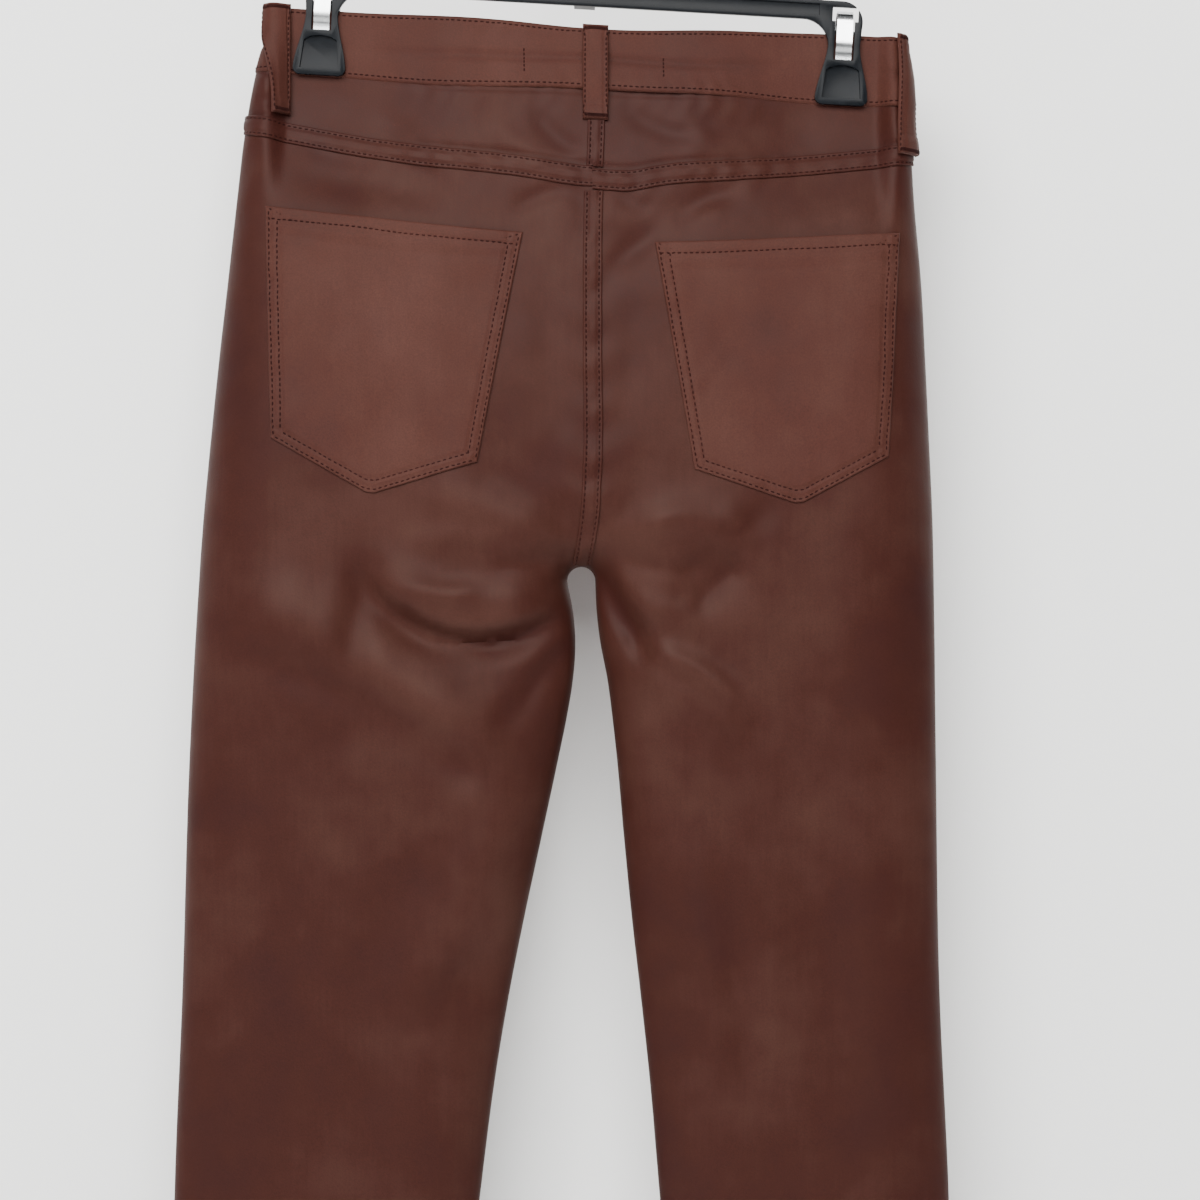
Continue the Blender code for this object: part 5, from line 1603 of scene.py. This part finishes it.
def spring_path():
    """The strip's middle line, with a short curve at each bend."""
    path = smoothed(SPRING_FRONT, 33)
    y, h = np.array(SPRING_FRONT).T
    middle, radius = (y[-1] + SPRING_REAR_Y) / 2, (SPRING_REAR_Y - y[-1]) / 2
    flat = (SPRING_TOP - h[-1]) / radius
    bend = arc(middle, h[-1], radius, 180, 0, 25)[1:]
    path += [(p, h[-1] + (q - h[-1]) * flat) for p, q in bend]
    return np.array(path + [(SPRING_REAR_Y, -130.0), (SPRING_REAR_Y, SPRING_REAR_END)])


path = spring_path()
along = np.gradient(path, axis=0)
along /= np.linalg.norm(along, axis=1, keepdims=True)
lean = np.stack([-along[:, 1], along[:, 0]], axis=-1) * SPRING_SHEET / 2
springs = []
for side, name in ((-1, "left"), (1, "right")):
    strip = [
        np.array([[tilted(CLIP_A * side + step, y, h) for step in SPRING_STEPS] for y, h in line])
        for line in (path + lean, path - lean)
    ]
    springs.append(wall("spring_" + name, *strip, slot=STEEL))

HOOK_WIRE, HOOK_INNER = 1.9, 20.0
HOOK_NECK = [(0.0, -66.0), (3.0, -55.0), (10.5, -44.0), (17.9, -32.6)]
wire = [(0.0, -113.0), (0.0, -90.0), *smoothed(HOOK_NECK, 17)]
wire += arc(0.0, -HOOK_INNER, HOOK_INNER + HOOK_WIRE, -35.0, 205.0, 61)[1:]
curve = bpy.data.curves.new("hook_wire", "CURVE")
curve.dimensions = "3D"
curve.bevel_depth = HOOK_WIRE * MM
curve.bevel_resolution = 8
curve.use_fill_caps = True
spline = curve.splines.new("POLY")
spline.points.add(len(wire) - 1)
for knot, (a, h) in zip(spline.points, wire):
    knot.co = (*tilted(a, 0.0, h), 1.0)
wire_object = linked("wire", curve)
mesh = evaluated(wire_object)
bpy.data.objects.remove(wire_object, do_unlink=True)
mesh.shade_smooth()
mesh.set_sharp_from_angle(angle=SMOOTH_TO)
hook_piece = carried(linked("hook_wire", mesh), "hook", STEEL)

# %% [markdown]
# The button is turned metal: a raised rim round a shallow dish, with a low dome in the middle.
# A profile is spun about its axis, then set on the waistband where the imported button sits.

# %% Button
BUTTON_RADIUS = 8.5
BUTTON_BELOW = 18.0
TURNS = 64
PROFILE = table("radius height", """
0 2.5
1.5 2.45
2.6 2.1
3.4 1.75
5.6 1.7
6.3 2.1
6.9 2.85
7.5 3.1
8.1 2.9
8.45 2.2
8.5 1.2
8.2 0.4
7.4 0.05
0 0
""")
down = float(band_top(0.0, True)) + BUTTON_BELOW
reach = np.array([-BUTTON_RADIUS, 0.0, BUTTON_RADIUS])
spots = depth_at(np.zeros(3), down + reach, True, False)
button_lean = math.atan2(spots[2] - spots[0], 2 * BUTTON_RADIUS)
near = spots[1] + BAND_STEP + REST_GAP
points, faces = [], []
for radius, height in zip(*PROFILE.values()):
    for turn in np.arange(TURNS) / TURNS * math.tau:
        y = height * math.cos(button_lean) - radius * math.sin(turn) * math.sin(button_lean)
        z = height * math.sin(button_lean) + radius * math.sin(turn) * math.cos(button_lean)
        x = radius * math.cos(turn) + CENTRE_X
        points.append((x * MM, (y + near) * MM, (z - WAIST_DROP - down) * MM))
for ring in range(len(PROFILE["radius"]) - 1):
    for k in range(TURNS):
        p, q = ring * TURNS + k, ring * TURNS + (k + 1) % TURNS
        faces.append((p, q, q + TURNS, p + TURNS))
mesh = outward(new_mesh("button_turned", points, faces))
mesh.shade_smooth()
button_piece = carried(linked("button_turned", mesh), "button", "button_metal")

# %% [markdown]
# Effects that several materials share are node groups. A group puts out only colours, masks and
# heights; the shader stays in each material. The first group is the face of the cloth: a slow
# mottle, thin upright slubs, the fine twill under the coating, and a grain of tiny bumps. It also
# paints shade into troughs and folds, and a paler tone of wear and painted sheen on ridges.

# %% Node helpers
class Nodes:
    """Adds nodes to one tree and links them by name."""

    def __init__(self, tree):
        self.tree = tree

    def add(self, kind, inputs=(), **settings):
        node = self.tree.nodes.new("ShaderNode" + kind)
        for key, value in settings.items():
            setattr(node, key, value)
        for key, value in dict(inputs).items():
            if isinstance(value, bpy.types.NodeSocket):
                self.tree.links.new(value, node.inputs[key])
            else:
                node.inputs[key].default_value = value
        return node

    def maths(self, operation, *values):
        return self.add("Math", enumerate(values), operation=operation).outputs[0]

    def plus(self, first, *others):
        for other in others:
            first = self.maths("ADD", first, other)
        return first

    def times(self, first, second):
        return self.maths("MULTIPLY", first, second)

    def swing(self, value, middle, gain):
        """A value's distance from its middle, times a gain."""
        return self.times(self.maths("SUBTRACT", value, middle), gain)

    def mix(self, share, first, second):
        """One colour turning into another as the share goes from 0 to 1."""
        node = self.add("Mix", {0: share, 6: first, 7: second}, data_type="RGBA")
        return node.outputs[2]

    def noise(self, vector, scale, detail=2.0, roughness=0.5):
        values = {"Vector": vector, "Scale": scale, "Detail": detail, "Roughness": roughness}
        return self.add("TexNoise", values).outputs["Fac"]

    def stretched(self, vector, scale):
        return self.add("Mapping", {"Vector": vector, "Scale": scale}).outputs[0]


FLOAT, COLOUR, VECTOR = "NodeSocketFloat", "NodeSocketColor", "NodeSocketVector"


def new_group(name, inputs):
    """A group that puts out colour, roughness and height, with its ends as nodes."""
    tree = bpy.data.node_groups.new(name, "ShaderNodeTree")
    tree.interface.new_socket(name="Place", in_out="INPUT", socket_type=VECTOR)
    for label, kind, value in inputs:
        made_socket = tree.interface.new_socket(name=label, in_out="INPUT", socket_type=kind)
        made_socket.default_value = value
    for label, kind in (("Colour", COLOUR), ("Roughness", FLOAT), ("Height", FLOAT)):
        tree.interface.new_socket(name=label, in_out="OUTPUT", socket_type=kind)
    ends = tree.nodes.new("NodeGroupInput"), tree.nodes.new("NodeGroupOutput")
    return tree, Nodes(tree), ends[0].outputs, ends[1].inputs


def put_out(tree, out, **values):
    """Links each value to the group's output of the same name."""
    for label, value in values.items():
        tree.links.new(value, out[label])
    print("group:", tree.name, len(tree.nodes), "nodes")


# %% Coated cloth group
coated_group, n, given, out = new_group("coated cloth face", [
    ("Ridge", FLOAT, 0.0),
    ("Cloth", COLOUR, (0.1, 0.04, 0.03, 1)),
    ("Worn and sheen", COLOUR, (0.2, 0.1, 0.08, 1)),
    ("Deep and shade", COLOUR, (0.05, 0.02, 0.015, 1)),
    ("Gloss", FLOAT, 0.4),
    ("Grain", FLOAT, 1.0),
])
SHEEN_BAND_AT, SHEEN_BAND_REACH = -0.47, 0.3
spot, ridge = given["Place"], given["Ridge"]
mottle = n.noise(spot, 13.0, 3.0, 0.6)
blotch = n.noise(spot, 46.0, 2.0, 0.5)
slub = n.noise(n.stretched(spot, (420.0, 420.0, 26.0)), 1.0, 2.0, 0.5)
grain = n.noise(spot, 1000.0, 3.0, 0.7)
pores = n.add("TexVoronoi", {"Vector": spot, "Scale": 900.0}).outputs["Distance"]
weave = {"Vector": n.stretched(spot, (1.0, 0.2, 1.0)), "Scale": 190.0, "Distortion": 1.5, "Detail": 1.0}
twill = n.add("TexWave", weave, wave_type="BANDS", bands_direction="DIAGONAL").outputs["Fac"]
# The tone is lighter in a band about the thighs: painted sheen, where the cloth also rubs. It then wanders
# with the mottle.
height_up = n.add("SeparateXYZ", {0: spot}).outputs[2]
away = n.maths("DIVIDE", n.maths("ABSOLUTE", n.plus(height_up, -SHEEN_BAND_AT)), SHEEN_BAND_REACH)
rubbed_and_sheen = n.maths("MAXIMUM", n.maths("SUBTRACT", 1.0, away), -0.4)
tone = n.plus(n.swing(mottle, 0.5, 3.2), n.swing(blotch, 0.5, 1.0), n.times(rubbed_and_sheen, 0.4))
# Ridges turn paler, as wear and painted sheen; troughs and folds turn darker, as painted shade.
worn_and_sheen = n.times(n.plus(n.times(ridge, 0.3), tone), 0.6)
worn_and_sheen = n.maths("MAXIMUM", n.plus(worn_and_sheen, n.swing(slub, 0.52, 0.28)), 0.0)
deep_and_shade = n.times(n.plus(n.times(ridge, -0.3), n.times(tone, -0.7)), 0.8)
colour = n.mix(n.maths("MINIMUM", worn_and_sheen, 0.7), given["Cloth"], given["Worn and sheen"])
colour = n.mix(n.maths("MINIMUM", n.maths("MAXIMUM", deep_and_shade, 0.0), 0.75), colour, given["Deep and shade"])
speck = n.plus(1.0, n.swing(grain, 0.5, n.times(given["Grain"], 0.8)))
specks = n.add("CombineXYZ", {0: speck, 1: speck, 2: speck}).outputs[0]
height = n.plus(n.times(grain, 0.9), n.times(pores, 0.5), n.times(twill, 0.06), n.times(slub, 0.3))
put_out(
    coated_group, out,
    Colour=n.add("VectorMath", {0: colour, 1: specks}, operation="MULTIPLY").outputs[0],
    Roughness=n.plus(given["Gloss"], n.swing(grain, 0.5, 0.22), n.swing(blotch, 0.5, 0.16)),
    Height=n.times(height, given["Grain"]),
)

# %% [markdown]
# The second group is handling wear for the hard parts: fine scratches that run all ways and a
# film of dust, for the plastic, the steel and the button.

# %% Handling group
handled_group, n, given, out = new_group("handling wear", [
    ("Surface", COLOUR, (0.1, 0.1, 0.1, 1)),
    ("Rubbed", COLOUR, (0.2, 0.2, 0.2, 1)),
    ("Gloss", FLOAT, 0.3),
    ("Scratches", FLOAT, 0.5),
])
spot = given["Place"]
film = n.noise(spot, 90.0, 4.0, 0.6)
fine = n.noise(spot, 1600.0, 2.0, 0.5)
lines = n.noise(n.stretched(spot, (90.0, 900.0, 2400.0)), 1.0, 2.0, 0.5)
other = n.noise(n.stretched(spot, (2200.0, 700.0, 110.0)), 1.0, 2.0, 0.5)
marks = n.maths("MAXIMUM", n.maths("SUBTRACT", n.maths("MAXIMUM", lines, other), 0.6), 0.0)
marks = n.times(n.times(marks, 5.0), given["Scratches"])
dusty = n.times(n.maths("MAXIMUM", n.maths("SUBTRACT", film, 0.48), 0.0), 1.4)
rub = n.maths("MINIMUM", n.plus(marks, dusty), 1.0)
put_out(
    handled_group, out,
    Colour=n.mix(rub, given["Surface"], given["Rubbed"]),
    Roughness=n.plus(given["Gloss"], n.swing(film, 0.5, 0.25), n.times(marks, 0.2)),
    Height=n.plus(n.times(fine, 0.6), n.times(marks, -0.5)),
)

# %% [markdown]
# The waistband, the pockets, the fly and the loops are lighter in colour and less glossy than the legs.
# Each material places a group, gives it its own values and feeds the shader. Numbers that are
# the same all over, such as coat, sheen and metal, are set on the shader itself.

# %% Materials
def material_with(name, group, values, bump, shader_values, ridge=False):
    """A material that feeds one group's outputs to the shader."""
    material = bpy.data.materials.new(name)
    material.use_nodes = True
    tree = material.node_tree
    shader = tree.nodes["Principled BSDF"]
    nodes = Nodes(tree)
    worked = tree.nodes.new("ShaderNodeGroup")
    worked.node_tree = group
    tree.links.new(nodes.add("TexCoord").outputs["Object"], worked.inputs["Place"])
    for key, value in values.items():
        worked.inputs[key].default_value = (*value, 1) if isinstance(value, tuple) else value
    if ridge:
        read = nodes.add("Attribute", attribute_name="ridge")
        tree.links.new(read.outputs["Fac"], worked.inputs["Ridge"])
    tree.links.new(worked.outputs["Colour"], shader.inputs["Base Color"])
    tree.links.new(worked.outputs["Roughness"], shader.inputs["Roughness"])
    values = {"Strength": bump[0], "Distance": bump[1], "Height": worked.outputs["Height"]}
    tree.links.new(nodes.add("Bump", values).outputs["Normal"], shader.inputs["Normal"])
    for key, value in shader_values.items():
        shader.inputs[key].default_value = value
    print("material:", name)
    return material


def cloth_finish(name, cloth, worn_and_sheen, deep_and_shade, gloss, grain, bump, shader_values, ridge=False):
    """A material of coated cloth or thread, with its own colours."""
    values = {"Cloth": cloth, "Worn and sheen": worn_and_sheen, "Deep and shade": deep_and_shade, "Gloss": gloss, "Grain": grain}
    return material_with(name, coated_group, values, bump, shader_values, ridge)


def hard_finish(name, surface, rubbed_and_sheen, gloss, scratches, bump, shader_values):
    """A material of plastic or metal, with its own colours."""
    values = {"Surface": surface, "Rubbed": rubbed_and_sheen, "Gloss": gloss, "Scratches": scratches}
    return material_with(name, handled_group, values, bump, shader_values)


SHEEN = {"Sheen Roughness": 0.5, "Sheen Tint": (0.9, 0.62, 0.54, 1)}
coated = cloth_finish(
    COATED, (0.0268, 0.0069, 0.0049), (0.044, 0.0175, 0.0128), (0.0162, 0.0036, 0.0042),
    0.56, 1.0, (0.35, 0.00015),
    {**SHEEN, "Sheen Weight": 0.01, "Coat Weight": 0.015, "Coat Roughness": 0.42,
     "Specular IOR Level": 0.1, "Specular Tint": (1.0, 0.84, 0.76, 1)},
    ridge=True,
)
matte = cloth_finish(
    "matte_cloth", (0.0385, 0.0118, 0.0084), (0.054, 0.0212, 0.0157), (0.022, 0.006, 0.0049),
    0.64, 1.3, (0.35, 0.00015),
    {**SHEEN, "Sheen Weight": 0.02, "Specular IOR Level": 0.12, "Specular Tint": (1.0, 0.86, 0.8, 1)},
    ridge=True,
)
inside_cloth = cloth_finish(
    "cloth_back", (0.055, 0.02, 0.0155), (0.08, 0.036, 0.028), (0.03, 0.01, 0.008),
    0.85, 1.6, (0.7, 0.0003),
    {"Sheen Weight": 0.2, "Sheen Roughness": 0.6, "Specular IOR Level": 0.25},
)
# The thread's dark colour is partly painted shade of the groove that each stitch sits in.
thread_material = cloth_finish(
    "sewing_thread", (0.014, 0.0027, 0.0021), (0.034, 0.0085, 0.0062), (0.008, 0.0016, 0.0014),
    0.65, 0.8, (0.4, 0.0001), {"Specular IOR Level": 0.06},
)
plastic = hard_finish(
    "moulded_plastic", (0.0035, 0.0044, 0.0058), (0.011, 0.013, 0.016),
    0.3, 0.2, (0.15, 0.0001), {"Specular IOR Level": 0.07},
)
steel = hard_finish(
    "spring_steel", (0.52, 0.53, 0.54), (0.34, 0.34, 0.34), 0.22, 0.5, (0.1, 0.0001), {"Metallic": 1.0},
)
brass = hard_finish(
    "button_metal", (0.40, 0.28, 0.16), (0.58, 0.46, 0.30), 0.3, 0.6, (0.12, 0.0001), {"Metallic": 1.0},
)
LIGHTER_MATTE_PIECES = ("waistband", "pocket", "loop", "fly")
for name, entry in made.items():
    entry["piece"].data.materials.append(matte if name.startswith(LIGHTER_MATTE_PIECES) else coated)
    entry["piece"].data.materials.append(inside_cloth)
for pieces in sewing.values():
    for piece in pieces:
        piece.data.materials.append(thread_material)
for finish, pieces in ((plastic, [hanger_piece, *rear]), (steel, [hook_piece]), (brass, [button_piece])):
    for piece in pieces:
        piece.data.materials.clear()
        piece.data.materials.append(finish)
for spring in springs:
    for _ in range(2):
        spring.data.materials.append(steel)

# %% [markdown]
# For each cloth piece, the size that it was cut to is worked out. The pair is sewn and hung, not
# draped, so a piece's cut is its own surface laid flat.

# %% Cloth sheets
for name, entry in made.items():
    width, length = entry["flat"]
    area = min(entry["area"], width * length)
    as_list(sewing.get(name, []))
print("declared", len(made), "sheets of cloth")

# %% [markdown]
# The pair hangs before a plain pale wall, over a pale floor. The wall is seen through from
# behind, so that the front of the jeans can be looked at too.

# %% Wall and floor
def plain_material(name, colour, open_behind):
    """Matt paint, a little uneven, that can be seen through from behind."""
    material = bpy.data.materials.new(name)
    material.use_nodes = True
    tree = material.node_tree
    nodes = Nodes(tree)
    shader = tree.nodes["Principled BSDF"]
    shader.inputs["Roughness"].default_value = 0.9
    shader.inputs["Specular IOR Level"].default_value = 0.1
    spot = nodes.add("TexCoord").outputs["Object"]
    uneven = nodes.noise(spot, 2.2, 3.0, 0.5)
    darker = tuple(c * 0.95 for c in colour[:3]) + (1,)
    tree.links.new(nodes.mix(uneven, colour, darker), shader.inputs["Base Color"])
    texture = nodes.noise(spot, 260.0, 3.0, 0.6)
    bump = nodes.add("Bump", {"Strength": 0.15, "Distance": 0.0005, "Height": texture})
    tree.links.new(bump.outputs["Normal"], shader.inputs["Normal"])
    if open_behind:
        clear = nodes.add("BsdfTransparent")
        behind = nodes.add("NewGeometry").outputs["Backfacing"]
        to_light = nodes.add("LightPath").outputs["Is Shadow Ray"]
        see_through = nodes.maths("MAXIMUM", behind, to_light)
        either = nodes.add("MixShader", {0: see_through, 1: shader.outputs[0], 2: clear.outputs[0]})
        tree.links.new(either.outputs[0], tree.nodes["Material Output"].inputs["Surface"])
    return material


def flat_sheet(name, corners, material):
    """One four-cornered sheet of the room."""
    sheet = linked(name, new_mesh(name, corners, [(0, 1, 2, 3)]))
    sheet.data.materials.append(material)
    sheet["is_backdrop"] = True
    print(name, "set")


WALL_AT, WALL_TOP = 0.085, 2.0
FLOOR_AT, FLOOR_DEEP = -1.3, 4
ROOM_HALF = 3.2
PALE = (0.92, 0.925, 0.92, 1)
ends = (-ROOM_HALF, ROOM_HALF)
wall_corners = [(x, WALL_AT, FLOOR_AT) for x in ends] + [(x, WALL_AT, WALL_TOP) for x in ends[::-1]]
flat_sheet("pale_wall", wall_corners, plain_material("wall_paint", PALE, True))
floor_corners = [(x, -FLOOR_DEEP, FLOOR_AT) for x in ends] + [(x, FLOOR_DEEP, FLOOR_AT) for x in ends[::-1]]
flat_sheet("pale_floor", floor_corners, plain_material("floor_paint", PALE, False))

# %% [markdown]
# The light is soft and comes from above and in front, as from a ceiling light behind the
# viewer. Two dim ones, in front and at the left, fill the shadows, and one behind lights the
# front of the pair. The room's own light looks paler to the camera than it is.

# %% Lights
def area_light(name, spot, aim, size, power, tint=(1, 1, 1)):
    """A rectangular light at a spot, turned to its aim."""
    light = bpy.data.lights.new(name, "AREA")
    light.shape = "RECTANGLE"
    light.size, light.size_y = size
    light.energy = power
    light.color = tint
    lamp = linked(name, light)
    lamp.location = spot
    away = [s - a for s, a in zip(spot, aim)]
    lamp.rotation_euler = Vector(away).to_track_quat("Z", "Y").to_euler()
    print("light:", name, power, "W")


area_light("ceiling", (-0.35, -2.1, 0.85), (0.0, 0.0, -0.7), (2.4, 1.3), 165, (1, 0.99, 0.975))
area_light("key", (-0.9, -2.5, 0.0), (0.0, 0.0, -0.6), (1.6, 1.2), 12, (1, 0.995, 0.985))
area_light("left_window", (-2.4, -1.7, -0.3), (0.0, 0.0, -0.55), (1.0, 1.6), 8, (0.95, 0.98, 1))
area_light("behind", (0.5, 2.3, 0.6), (0.0, 0.0, -0.6), (2.2, 1.4), 120)
ROOM_AIR = (0.86, 0.87, 0.88, 1)
world = bpy.context.scene.world or bpy.data.worlds.new("room")
bpy.context.scene.world = world
world.use_nodes = True
room = Nodes(world.node_tree)
air = world.node_tree.nodes["Background"]
air.inputs["Color"].default_value = ROOM_AIR
air.inputs["Strength"].default_value = 0.26
pale_air = room.add("Background", {"Color": ROOM_AIR, "Strength": 0.8})
seen = room.add("LightPath").outputs["Is Camera Ray"]
both = room.add("MixShader", {0: seen, 1: air.outputs[0], 2: pale_air.outputs[0]})
world.node_tree.links.new(both.outputs[0], world.node_tree.nodes["World Output"].inputs["Surface"])

# %% [markdown]
# Last, the sizes before and after are gathered, and the size after is printed.

# %% Sizes and finish
low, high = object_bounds()
size = {"cad": cad_box, "scene": [[float(v) for v in low], [float(v) for v in high]]}
print("dressed box in metres:", size["scene"])
